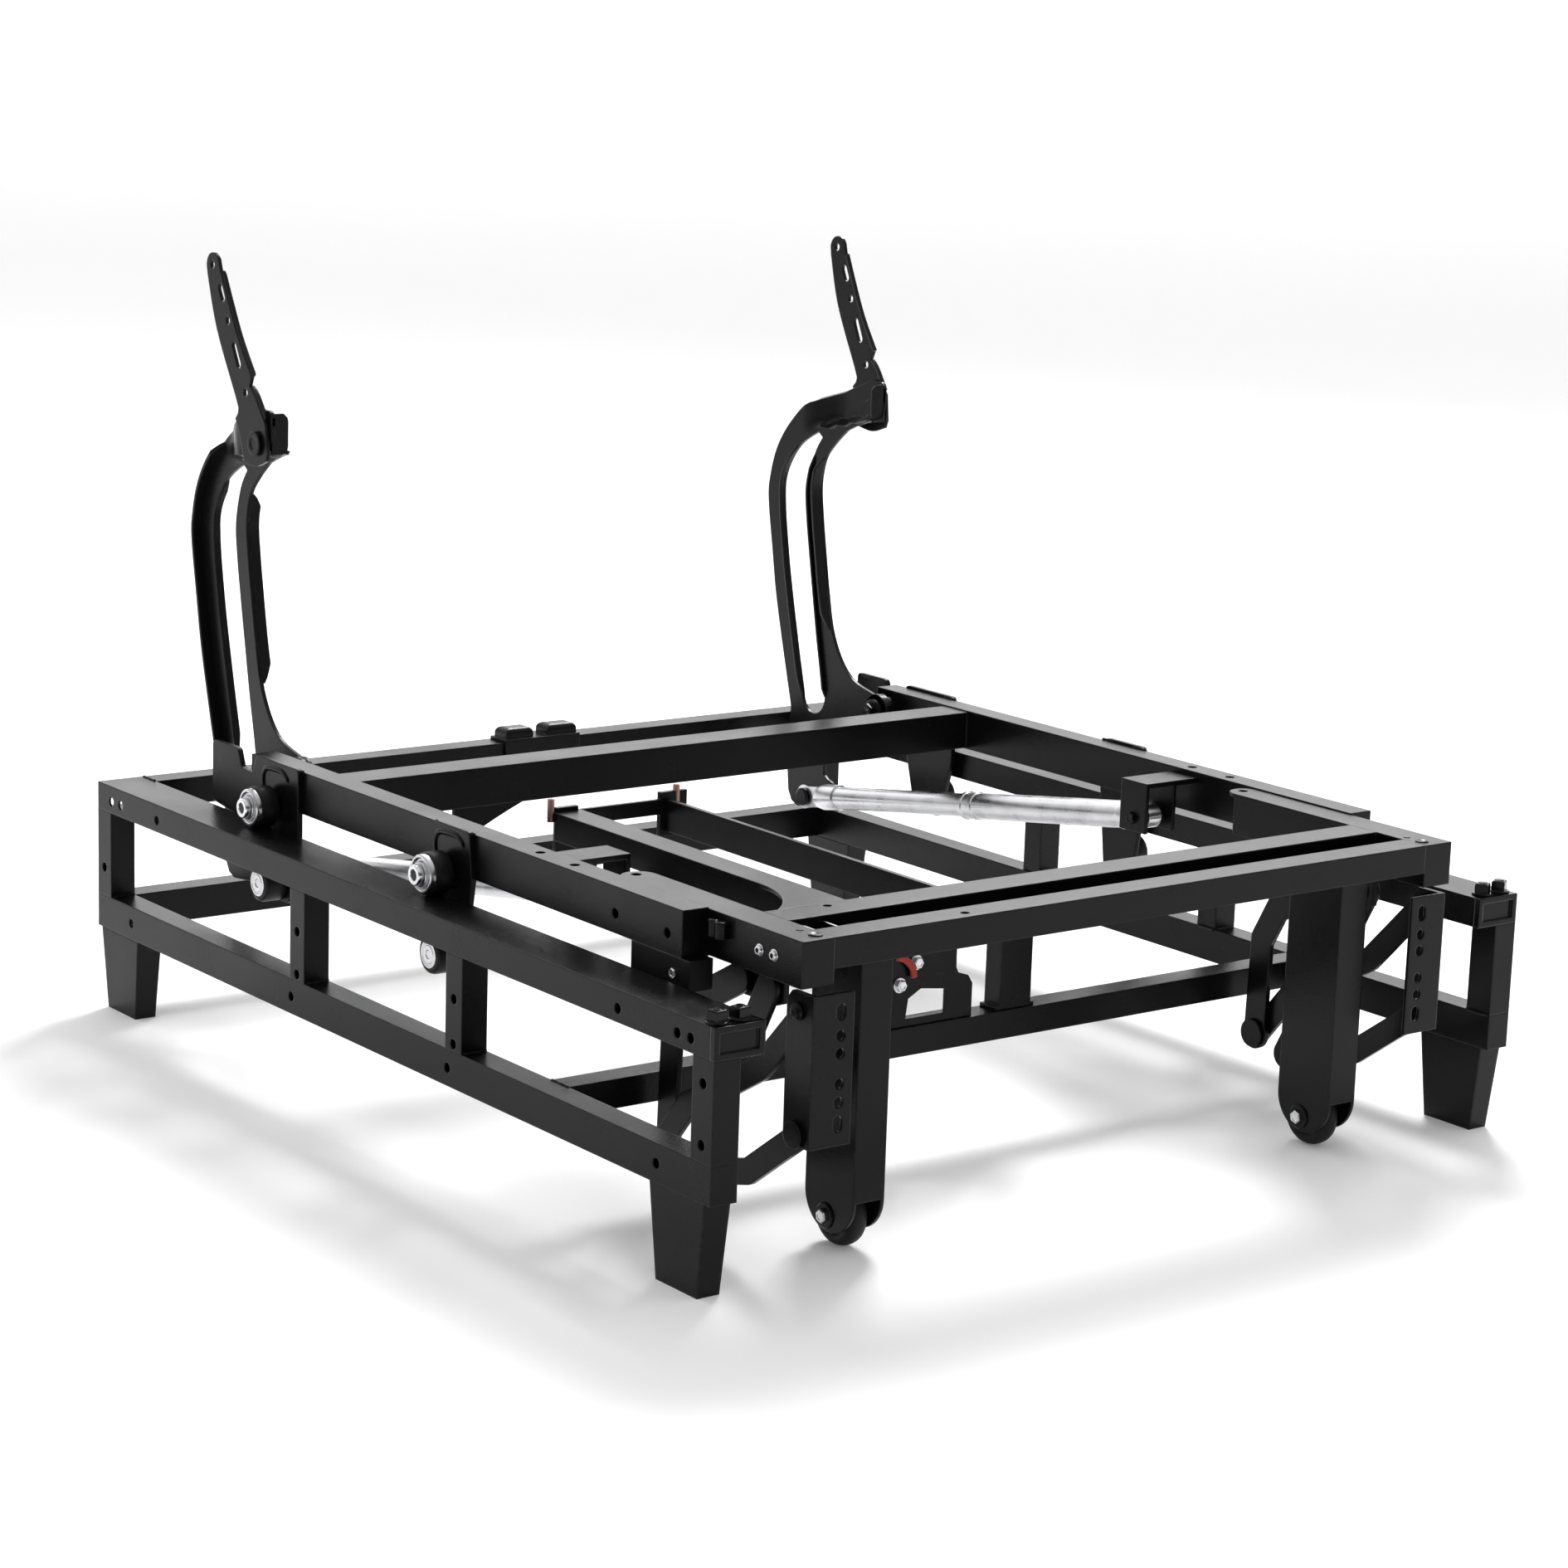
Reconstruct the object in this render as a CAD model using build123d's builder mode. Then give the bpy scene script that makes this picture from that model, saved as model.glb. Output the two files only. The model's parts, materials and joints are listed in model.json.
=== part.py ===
from build123d import *
import math
import os

# Reclining seat mechanism: a base frame on four feet, a carriage that rolls on its top rails,
# two back arms with telescopic struts, and a folding linkage that lifts the footrest brackets.
# Millimetres, +Z up, front towards -Y. Side pieces are drawn on the +X side and mirrored.

# Base frame
base_width = 700
base_length = 804
post_size = 20
tube_wall = 1.5
bottom_rail_z = (62.5, 88)
top_rail_z = (154, 175)
top_rail_width = 38
rear_rail_depth = 21
front_post_depth = 22
middle_post_start = 283
rear_middle_post_start = 490
middle_rail_start = 185
middle_rail_size = 20
rail_hole_radius = 3.5
bottom_rail_holes = (57.5, 300, 508, 750)
bottom_hole_rise = 12.5
top_rail_holes = (25, 39, 103, 709, 767, 782)
top_hole_rise = 9
end_cap_depth = 5

# Feet
foot_top = (20, 58)
foot_bottom = (17, 44)
foot_inset = 35

# Carriage
plate_thickness = 4
sheet = 2.5
rail_gap = 5
seat_rail_width = 20
seat_rail_d = (102, 650)
seat_rail_z = (189, 220)
rear_tube_start = 532
rear_tube_depth = 30
arm_tube_width = 25
arm_tube_d = (4, 196)
arm_tube_z = (189, 219)
front_tube_d = (4, 26)
second_tube_d = (52, 78)
cross_tube_z = (199, 219)
bar_end = 380
wide_bar_offset = 43
wide_bar_width = 22
bar_pitch = 94
side_box_d = (93, 157)
side_box_height = 20

# Rollers and wheels
upper_roller_radius = 15
upper_roller_d = (371, 609)
upper_roller_width = 20
lower_roller_radius = 14
lower_roller_z = 134
lower_roller_d = (368, 604)
lower_roller_width = 14
axle_radius = 4
wheel_radius = 21.5
wheel_d = 50
wheel_width = 15
wheel_gap = 5
wheel_leg_inset = 36
wheel_leg_d = (22, 72)
wheel_leg_end = (47, 36)

# Footrest linkage, as distance behind the front and height
front_pivot = (62, 174)
rear_pivot = (92, 174)
cross_pivot = (101, 100)
foot_pivot = (134, 36)
back_pivot = (166, 45)
bracket_top_pivot = (15, 172)
bracket_low_pivot = (15, 93)
layer_pitch = 5
pin_radius = 3.5
pin_hole_radius = 3.56
open_back_hole_radius = 6.8
open_bracket_hole_radius = 6
link_width = 20
footrest_hole_offset = 18
footrest_hole_radius = 3.7

# Back arms and tips
arm_offset = 8
arm_thickness = 7
arm_flange_width = 5
arm_pivot = (632, 204)
arm_pin_radius = 6
tip_offset = 3
tip_thickness = 3.5
tip_pivot = (671, 446)
tip_pin_radius = 5
tip_hole_radius = 3
tip_lean = 2

# Struts
strut_offset = 21
strut_front = (276, 188)
strut_eye = (693, 123)
rod_radius = 9.3
strut_tube_radius = 10.5
strut_bore = rod_radius + 0.06
strut_pin_radius = 5

# Places across the width, from the base inwards
half_width = base_width / 2
front_y = -base_length / 2
middle_rail_z = (bottom_rail_z[1] - middle_rail_size, bottom_rail_z[1])
rail_inner_x = half_width - top_rail_width
roller_plate_x = (rail_inner_x - rail_gap - plate_thickness, rail_inner_x - rail_gap)
seat_rail_x = (roller_plate_x[0] - seat_rail_width, roller_plate_x[0])
arm_tube_x = (seat_rail_x[0] - arm_tube_width, seat_rail_x[0])
wide_bar_x = (wide_bar_offset - arm_tube_x[0], wide_bar_offset - arm_tube_x[0] + wide_bar_width)
thin_bar_x = (wide_bar_x[0] + bar_pitch, wide_bar_x[0] + bar_pitch + plate_thickness)
upper_roller_z = top_rail_z[1] + upper_roller_radius
upper_roller_x = (rail_inner_x - 2, rail_inner_x - 2 + upper_roller_width)
lower_roller_x = (rail_inner_x - 2, rail_inner_x - 2 + lower_roller_width)
wheel_leg_outer = arm_tube_x[0] - wheel_leg_inset
wheel_leg_x = (wheel_leg_outer - 2 * wheel_gap - wheel_width, wheel_leg_outer)
wheel_x = (wheel_leg_x[0] + wheel_gap, wheel_leg_x[1] - wheel_gap)
hanger_x = (arm_tube_x[0] - 1, arm_tube_x[0] - 1 + plate_thickness)
inner_layer = (hanger_x[0] + layer_pitch, hanger_x[1] + layer_pitch)
middle_layer = (inner_layer[0] + layer_pitch, inner_layer[1] + layer_pitch)
outer_layer = (middle_layer[0] + layer_pitch, middle_layer[1] + layer_pitch)
arm_x = (seat_rail_x[0] - arm_offset - arm_thickness, seat_rail_x[0] - arm_offset)
tip_x = (seat_rail_x[0] + tip_offset, seat_rail_x[0] + tip_offset + tip_thickness)
strut_x = arm_x[0] - strut_offset

# Outlines of the back arm and its tip, as distance behind the front and height
arm_rear_edge = (
    (672, 462), (727, 450), (749, 438), (767, 421), (779, 403), (786, 382), (788, 361),
    (780, 316), (773, 280), (761, 236), (747, 188),
)
arm_foot = (
    (747, 188), (750, 140), (744, 104), (712, 104), (700, 150), (692, 184), (680, 184),
    (arm_pivot[0], 190), (arm_pivot[0], 218), (640, 222),
)
arm_front_edge = (
    (640, 222), (663, 226), (681, 238), (695, 254), (703, 294), (709, 325), (714, 353), (717, 380),
    (712, 402), (700, 416), (681, 430), (644, 443),
)
arm_front_leg = arm_front_edge[3:9]
slot_rear_edge = (
    (722, 424), (748, 409), (765, 385), (767, 360), (760, 316), (752, 280), (741, 236), (732, 203),
)
slot_front_edge = (
    (701, 203), (705, 223), (712, 254), (720, 294), (726, 325), (731, 353), (733, 378), (726, 405),
    (716, 420),
)
tip_outline = (
    (690, 432), (698, 456), (702, 462), (697, 470), (700, 478), (728, 526), (741, 566), (739, 577),
    (726, 583), (718, 575), (698, 524), (676, 493), (680, 486), (672, 480), (658, 461), (655, 440),
)
tip_flanges = (((669, 476), (672, 480), (679, 486)), ((677, 494), (698, 524), (719, 575)))
tip_holes = ((686, 482), (711, 533))
tip_slots = (((699, 508.5), 21), ((720, 553), 14))


def place(point):
    """A point on a side plane, from its distance behind the front and its height."""
    return (front_y + point[0], point[1])


def block(x_range, d_range, z_range, mode=Mode.ADD):
    """A box between two X values, two distances behind the front and two heights."""
    x_size, d_size, z_size = (high - low for low, high in (x_range, d_range, z_range))
    with Locations((sum(x_range) / 2, front_y + sum(d_range) / 2, sum(z_range) / 2)):
        Box(x_size, d_size, z_size, mode=mode)


def hollow_tube(x_range, d_range, z_range, along, cap=0.0):
    """A rectangular tube along one axis, with an end wall as thick as the cap at its low end."""
    block(x_range, d_range, z_range)
    inside = []
    for axis, (low, high) in zip("xyz", (x_range, d_range, z_range)):
        if axis == along:
            inside.append((low + cap, high))
        else:
            inside.append((low + tube_wall, high - tube_wall))
    block(*inside, mode=Mode.SUBTRACT)


def side_disc(x_range, centre, radius, mode=Mode.ADD):
    """A cylinder along X at a distance behind the front and a height."""
    with BuildSketch(Plane.YZ.offset(x_range[0])) as face:
        with Locations(place(centre)):
            Circle(radius)
    extrude(face.sketch, amount=x_range[1] - x_range[0], mode=mode)


def side_plate(x_range, outline, corner=0.0, mode=Mode.ADD):
    """A plate across X with the given outline in distance behind the front and height."""
    with BuildSketch(Plane.YZ.offset(x_range[0])) as face:
        with BuildLine():
            Polyline([place(point) for point in outline], close=True)
        make_face()
        if corner:
            fillet(face.vertices(), corner)
    extrude(face.sketch, amount=x_range[1] - x_range[0], mode=mode)


def bar_run(x_range, places, width, mode=Mode.ADD):
    """A flat bar with round ends that follows the given places."""
    with BuildSketch(Plane.YZ.offset(x_range[0])) as face:
        for (d_a, z_a), (d_b, z_b) in zip(places, places[1:]):
            length = math.hypot(d_b - d_a, z_b - z_a)
            turn = math.degrees(math.atan2(z_b - z_a, d_b - d_a))
            with Locations(place(((d_a + d_b) / 2, (z_a + z_b) / 2))):
                SlotCenterToCenter(length, width, rotation=turn)
    extrude(face.sketch, amount=x_range[1] - x_range[0], mode=mode)


def drill_top(x, d, radius, z_range):
    """A vertical hole."""
    with BuildSketch(Plane.XY.offset(z_range[0])) as face:
        with Locations((x, front_y + d)):
            Circle(radius)
    extrude(face.sketch, amount=z_range[1] - z_range[0], mode=Mode.SUBTRACT)


def save(piece, name):
    piece.part.label = name
    export_step(piece.part, f"parts/{name}.step")


def save_pair(piece, name):
    """Save the piece as the right one and its mirror image as the left one."""
    save(piece, f"right_{name}")
    with BuildPart() as left_piece:
        mirror(piece.part, about=Plane.YZ)
    save(left_piece, f"left_{name}")


def bottom_rails():
    with BuildPart() as piece:
        rail_x = (half_width - post_size, half_width)
        hollow_tube(rail_x, (0, base_length), bottom_rail_z, "y", cap=tube_wall)
        hole_z = bottom_rail_z[0] + bottom_hole_rise
        for d in bottom_rail_holes:
            side_disc((half_width - 3, half_width + 1), (d, hole_z), rail_hole_radius, Mode.SUBTRACT)
        mirror(about=Plane.YZ)
    save(piece, "base_bottom_rails")


def top_rails():
    with BuildPart() as piece:
        rail_x = (rail_inner_x, half_width)
        hollow_tube(rail_x, (end_cap_depth, base_length), top_rail_z, "y")
        hole_z = top_rail_z[0] + top_hole_rise
        for d in top_rail_holes:
            side_disc((half_width - 3, half_width + 1), (d, hole_z), rail_hole_radius, Mode.SUBTRACT)
        mirror(about=Plane.YZ)
    save(piece, "base_top_rails")


def posts():
    with BuildPart() as piece:
        post_x = (half_width - post_size, half_width)
        post_z = (bottom_rail_z[1], top_rail_z[0])
        rows = (
            (0, front_post_depth, (11, 50)),
            (middle_post_start, post_size, (5, 36)),
            (rear_middle_post_start, post_size, (5, 36)),
            (base_length - rear_rail_depth, rear_rail_depth, (22,)),
        )
        for start, depth, hole_rises in rows:
            hollow_tube(post_x, (start, start + depth), post_z, "z")
            for rise in hole_rises:
                centre = (start + depth / 2, post_z[0] + rise)
                side_disc((half_width - 3, half_width + 1), centre, rail_hole_radius, Mode.SUBTRACT)
        mirror(about=Plane.YZ)
    save(piece, "base_posts")


def rear_rails():
    with BuildPart() as piece:
        rear_d = (base_length - rear_rail_depth, base_length)
        low_end = half_width - post_size
        hollow_tube((-low_end, low_end), rear_d, bottom_rail_z, "x")
        hollow_tube((-rail_inner_x, rail_inner_x), rear_d, top_rail_z, "x")
    save(piece, "base_rear_rails")


def middle_rail():
    with BuildPart() as piece:
        end = half_width - post_size
        rail_d = (middle_rail_start, middle_rail_start + middle_rail_size)
        hollow_tube((-end, end), rail_d, middle_rail_z, "x")
    save(piece, "base_middle_rail")


def feet():
    with BuildPart() as piece:
        for d in (foot_inset, base_length - foot_inset):
            centre = (half_width - foot_top[0] / 2, front_y + d)
            with BuildSketch(Plane.XY):
                with Locations(centre):
                    Rectangle(*foot_bottom)
            with BuildSketch(Plane.XY.offset(bottom_rail_z[0])):
                with Locations(centre):
                    Rectangle(*foot_top)
            loft()
        mirror(about=Plane.YZ)
    save(piece, "base_feet")


def end_caps():
    with BuildPart() as piece:
        rail_x = (rail_inner_x, half_width)
        block(rail_x, (0, end_cap_depth), top_rail_z)
        panel_x = (rail_x[0] + 4, rail_x[1] - 4)
        block(panel_x, (0, 2), (top_rail_z[0] + 4, top_rail_z[1] - 4), Mode.SUBTRACT)
        mirror(about=Plane.YZ)
    save(piece, "rail_end_caps")


def motor_bracket():
    """A windowed upright plate with two side cheeks and a foot on the middle rail."""
    front = middle_rail_start + 2
    foot = middle_rail_z[1]
    wall = foot + sheet
    outline = (
        (-64, foot), (8, foot), (8, 112), (4, 118), (-5, 121), (-7, 125), (-7, 160), (-64, 160),
    )
    window = ((-51, 94), (-16, 94), (-16, 111), (-38, 114), (-49, 108))
    with BuildPart() as piece:
        with BuildSketch(Plane.XZ.offset(-front_y - front)) as face:
            with BuildLine():
                Polyline(outline, close=True)
            make_face()
            fillet([corner for corner in face.vertices() if corner.Z > wall], 2)
            with BuildLine():
                Polyline(window, close=True)
            make_face(mode=Mode.SUBTRACT)
        extrude(face.sketch, amount=-sheet)
        block((outline[0][0], outline[1][0]), (front, front + 17), (foot, wall))
        block((outline[0][0], outline[0][0] + sheet), (front, front + 17), (foot, 150))
        block((outline[1][0] - sheet, outline[1][0]), (front, front + 17), (foot, outline[2][1]))
    save(piece, "motor_bracket")


def cross_post():
    """A channel post with a welded foot on the middle rail."""
    front = middle_rail_start + 2
    post_x = (34, 62)
    foot = middle_rail_z[1]
    top = foot + 76
    with BuildPart() as piece:
        block((post_x[0] - 4, post_x[1] + 3), (front, front + 17), (foot, foot + 3))
        block(post_x, (front, front + sheet), (foot + 3, top))
        for cheek in ((post_x[0], post_x[0] + sheet), (post_x[1] - sheet, post_x[1])):
            block(cheek, (front, front + 17), (foot + 3, top))
    save(piece, "cross_post")


def rear_rail_bracket():
    """A low folded saddle over the rear top rail with two rounded lobes."""
    rear_front = base_length - rear_rail_depth
    rail_top = top_rail_z[1]
    with BuildPart() as piece:
        block((4, 76), (rear_front - sheet, base_length), (rail_top, rail_top + sheet))
        block((4, 76), (rear_front - sheet, rear_front), (rail_top - 10, rail_top))
        for x_range in ((6, 32), (46, 74)):
            block(x_range, (rear_front, base_length - 3), (rail_top + sheet, rail_top + 11))
        lobe_tops = piece.faces().group_by(Axis.Z)[-1].edges()
        fillet(lobe_tops, 5)
    save(piece, "rear_rail_bracket")


def seat_rails():
    with BuildPart() as piece:
        hollow_tube(seat_rail_x, seat_rail_d, seat_rail_z, "y", cap=tube_wall)
        face_x = (seat_rail_x[1] - 3, seat_rail_x[1] + 1)
        for d in (118, 176):
            side_disc(face_x, (d, seat_rail_z[0] + 13), rail_hole_radius, Mode.SUBTRACT)
        for d in (238, 279):
            middle = sum(seat_rail_x) / 2
            drill_top(middle, d, rail_hole_radius, (seat_rail_z[1] - 3, seat_rail_z[1] + 1))
        mirror(about=Plane.YZ)
    save(piece, "seat_rails")


def rear_cross_tube():
    with BuildPart() as piece:
        end = seat_rail_x[0]
        tube_z = (seat_rail_z[0] + 1, seat_rail_z[1] - 1)
        hollow_tube((-end, end), (rear_tube_start, rear_tube_start + rear_tube_depth), tube_z, "x")
    save(piece, "rear_cross_tube")


def rear_tube_gusset():
    """A curved plate that hangs under the rear cross tube."""
    top = seat_rail_z[0] + 1
    with BuildPart() as piece:
        with BuildSketch(Plane.XZ.offset(-(front_y + rear_tube_start + 13))):
            with BuildLine():
                Polyline((-186, top - 26), (-195, top - 26), (-195, top), (-130, top))
                ThreePointArc((-130, top), (-158, top - 12), (-186, top - 26))
            make_face()
        extrude(amount=plate_thickness)
    save(piece, "rear_tube_gusset")


def carriage_arms():
    """Two tubes beside the seat rails, each with a rounded tongue at the back of its top."""
    middle = sum(arm_tube_x) / 2
    tongue_z = arm_tube_z[1] - sheet
    with BuildPart() as piece:
        hollow_tube(arm_tube_x, arm_tube_d, arm_tube_z, "y", cap=tube_wall)
        with BuildSketch(Plane.XY.offset(tongue_z)):
            with Locations((middle, front_y + arm_tube_d[1])):
                Circle(arm_tube_width / 2)
        extrude(amount=sheet)
        drill_top(middle, arm_tube_d[1] + 4, rail_hole_radius, (tongue_z - 1, arm_tube_z[1] + 1))
        mirror(about=Plane.YZ)
    save(piece, "carriage_arms")


def front_cross_tubes():
    """Two tubes between the carriage arms with a shallow floor plate between them."""
    end = arm_tube_x[0]
    with BuildPart() as piece:
        hollow_tube((-end, end), front_tube_d, cross_tube_z, "x")
        hollow_tube((-end, end), second_tube_d, cross_tube_z, "x")
        block((-end, end), (front_tube_d[1], second_tube_d[0]), (cross_tube_z[0], cross_tube_z[0] + sheet))
        for x, d in ((-213, second_tube_d[0] + 19), (-148, front_tube_d[0] + 9)):
            drill_top(x, d, 3, (cross_tube_z[1] - 3, cross_tube_z[1] + 1))
    save(piece, "front_cross_tubes")


def inner_bars():
    """A wide bar with a curved gusset and a thin upright one, behind the second cross tube."""
    start = second_tube_d[1]
    outer = wide_bar_x[0]
    with BuildPart() as piece:
        hollow_tube(wide_bar_x, (start, bar_end), cross_tube_z, "y")
        with BuildSketch(Plane.XY.offset(cross_tube_z[1] - sheet)):
            gusset_front = front_y + start
            with BuildLine():
                Polyline((outer, gusset_front + 62), (outer, gusset_front), (outer - 32, gusset_front))
                ThreePointArc(
                    (outer - 32, gusset_front), (outer - 13, gusset_front + 20), (outer, gusset_front + 62)
                )
            make_face()
        extrude(amount=sheet)
        block(thin_bar_x, (start, bar_end), (cross_tube_z[0] - 3, cross_tube_z[1]))
    save(piece, "inner_bars")


def bar_brackets():
    """Upright tabs at the back ends of the inner bars, joined by a flat strip."""
    with BuildPart() as piece:
        low, top = cross_tube_z
        tab_d = (bar_end, bar_end + plate_thickness)
        block((wide_bar_x[0] + 2, thin_bar_x[1]), (bar_end, bar_end + 3), (top - 11, top))
        block((wide_bar_x[0] + 2, wide_bar_x[1] - 2), tab_d, (low - 9, top + 3))
        block((thin_bar_x[0] - 4, thin_bar_x[1] + 15), tab_d, (low - 7, top + 5))
    save(piece, "bar_brackets")


def roller_plates():
    """Plates that hang from the seat rails and carry the rollers over and under the top rails."""
    rear_d = upper_roller_d[1]
    front_d = upper_roller_d[0]
    top = seat_rail_z[1] + 2
    low = lower_roller_z - lower_roller_radius
    rear_outline = (
        (rear_d - 34, top), (rear_d - 34, top - 54), (rear_d - 21, low), (rear_d + 11, low),
        (rear_d + 25, top - 54), (rear_d + 93, top - 46), (rear_d + 93, top), (rear_d + 55, top),
        (rear_d + 49, top - 14), (rear_d + 33, top - 14), (rear_d + 27, top),
    )
    front_outline = (
        (front_d - 26, top), (front_d - 30, top - 32), (front_d - 19, low), (front_d + 13, low),
        (front_d + 22, top - 32), (front_d + 18, top),
    )
    with BuildPart() as piece:
        side_plate(roller_plate_x, rear_outline, 4)
        side_plate(roller_plate_x, front_outline, 4)
        axle_end = upper_roller_x[1] + 4
        for d in upper_roller_d:
            side_disc((roller_plate_x[1], axle_end), (d, upper_roller_z), axle_radius)
            side_disc((upper_roller_x[1] + 1, axle_end), (d, upper_roller_z), axle_radius + 3)
        mirror(about=Plane.YZ)
    save(piece, "roller_plates")


def guide_rollers():
    """Guide rollers below the top rails that stop the carriage lifting."""
    with BuildPart() as piece:
        for d in lower_roller_d:
            side_disc(lower_roller_x, (d, lower_roller_z), lower_roller_radius)
            side_disc((roller_plate_x[1], lower_roller_x[0]), (d, lower_roller_z), axle_radius)
        mirror(about=Plane.YZ)
    save(piece, "guide_rollers")


def support_rollers():
    for d, row in zip(upper_roller_d, ("front", "rear")):
        with BuildPart() as piece:
            side_disc(upper_roller_x, (d, upper_roller_z), upper_roller_radius)
            side_disc(upper_roller_x, (d, upper_roller_z), axle_radius + 0.05, Mode.SUBTRACT)
        save_pair(piece, f"{row}_roller")


def wheel_legs():
    """Two forked legs under the front cross tubes, each with an axle for a floor wheel."""
    end_d, end_z = wheel_leg_end
    radius = (wheel_leg_d[1] - wheel_leg_d[0]) / 2
    with BuildPart() as piece:
        for cheek_x in (wheel_leg_x[0], wheel_leg_x[1] - sheet):
            cheek = (cheek_x, cheek_x + sheet)
            block(cheek, wheel_leg_d, (end_z, cross_tube_z[0]))
            side_disc(cheek, (end_d, end_z), radius)
        block(wheel_leg_x, (wheel_leg_d[0], wheel_leg_d[0] + sheet), (end_z, cross_tube_z[0]))
        side_disc(wheel_leg_x, (wheel_d, wheel_radius), axle_radius)
        mirror(about=Plane.YZ)
    save(piece, "wheel_legs")


def wheels():
    with BuildPart() as piece:
        side_disc(wheel_x, (wheel_d, wheel_radius), wheel_radius)
        side_disc(wheel_x, (wheel_d, wheel_radius), axle_radius + 0.08, Mode.SUBTRACT)
    save_pair(piece, "wheel")


def carriage_brackets():
    """Box brackets under the seat rails, linkage hangers, strut mounts and arm pivot pins."""
    with BuildPart() as piece:
        box_x = (seat_rail_x[0] + 2, seat_rail_x[1])
        box_z = (seat_rail_z[0] - side_box_height, seat_rail_z[0])
        hollow_tube(box_x, side_box_d, box_z, "y", cap=tube_wall)
        hanger_d = (front_pivot[0] - 12, rear_pivot[0] + 12)
        top = arm_tube_z[0]
        low = front_pivot[1] - 11
        hanger_outline = (
            (hanger_d[0], top), (hanger_d[0], low + 3), (hanger_d[0] + 8, low),
            (hanger_d[1] - 8, low), (hanger_d[1], low + 3), (hanger_d[1], top),
        )
        side_plate(hanger_x, hanger_outline)
        for centre in (front_pivot, rear_pivot):
            side_disc((hanger_x[0] - 1, hanger_x[1] + 1), centre, pin_hole_radius, Mode.SUBTRACT)
        mount_d = (strut_front[0] - 14, strut_front[0] + 14)
        block((strut_x - 15, seat_rail_x[0]), mount_d, (strut_front[1] + 24, strut_front[1] + 28))
        for cheek_x in (strut_x - 15, strut_x + 12):
            block((cheek_x, cheek_x + 3), mount_d, (strut_front[1] - 10, strut_front[1] + 24))
        side_disc((strut_x - 12, strut_x + 12), strut_front, axle_radius)
        side_disc((arm_x[0] - 3, seat_rail_x[0]), arm_pivot, arm_pin_radius)
        side_disc((arm_x[0] - 4, arm_x[0] - 1), arm_pivot, arm_pin_radius + 4)
        side_disc((arm_x[1] + 1, seat_rail_x[0]), arm_pivot, arm_pin_radius + 5)
        mirror(about=Plane.YZ)
    save(piece, "carriage_brackets")


def back_arms():
    """A pressed arm with a long slot, a flanged front leg, a knee block and a strut lug."""
    with BuildPart() as piece:
        with BuildSketch(Plane.YZ.offset(arm_x[0])):
            with BuildLine():
                Spline([place(point) for point in arm_rear_edge])
                Polyline([place(point) for point in arm_foot])
                Spline([place(point) for point in arm_front_edge])
                Polyline([place(point) for point in (arm_front_edge[-1], (646, 462), arm_rear_edge[0])])
            make_face()
            with BuildLine():
                Spline([place(point) for point in slot_rear_edge])
                ThreePointArc(place(slot_rear_edge[-1]), place((717, 195)), place(slot_front_edge[0]))
                Spline([place(point) for point in slot_front_edge])
                Line(place(slot_front_edge[-1]), place(slot_rear_edge[0]))
            make_face(mode=Mode.SUBTRACT)
        extrude(amount=arm_thickness)
        flange_back = tuple((d + 4.5, z) for d, z in reversed(arm_front_leg))
        side_plate((arm_x[0] - arm_flange_width, arm_x[0]), arm_front_leg + flange_back)
        side_disc(arm_x, arm_pivot, arm_pin_radius + 8)
        side_disc(arm_x, arm_pivot, arm_pin_radius + 0.08, Mode.SUBTRACT)
        bar_run(arm_x, (strut_eye, (724, 122)), 23)
        side_disc((strut_x - 4, arm_x[0]), strut_eye, strut_pin_radius)
        knee_x = (arm_x[0], tip_x[0] - 1)
        bar_run(knee_x, ((650, 440), (650, 454)), 20)
        bar_run((knee_x[0] - 1, knee_x[1] - sheet), ((650, 442), (650, 452)), 14, Mode.SUBTRACT)
        side_disc(knee_x, tip_pivot, tip_pin_radius + 5)
        side_disc((knee_x[1], tip_x[1] + 0.5), tip_pivot, tip_pin_radius)
        side_disc((tip_x[1] + 0.5, tip_x[1] + 2.5), tip_pivot, tip_pin_radius + 4)
    save_pair(piece, "back_arm")


def arm_tip(side, lean):
    """A flat tip with a folded front edge, turned back about its pivot by a small angle."""
    with BuildPart() as upright:
        side_plate(tip_x, tip_outline, 2)
        for run in tip_flanges:
            bar_run((tip_x[0] - 6, tip_x[0] + 1), run, sheet)
        side_disc(tip_x, tip_pivot, tip_pin_radius + 0.06, Mode.SUBTRACT)
        for centre in tip_holes:
            side_disc(tip_x, centre, tip_hole_radius, Mode.SUBTRACT)
        for (d, z), length in tip_slots:
            reach = length / 2 - tip_hole_radius
            step = (reach * math.cos(math.radians(63)), reach * math.sin(math.radians(63)))
            ends = ((d - step[0], z - step[1]), (d + step[0], z + step[1]))
            bar_run(tip_x, ends, 2 * tip_hole_radius, Mode.SUBTRACT)
    turned = upright.part.rotate(Axis((0, *place(tip_pivot)), (1, 0, 0)), -lean)
    with BuildPart() as piece:
        if side == "right":
            add(turned)
        else:
            mirror(turned, about=Plane.YZ)
    save(piece, f"{side}_arm_tip")


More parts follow.
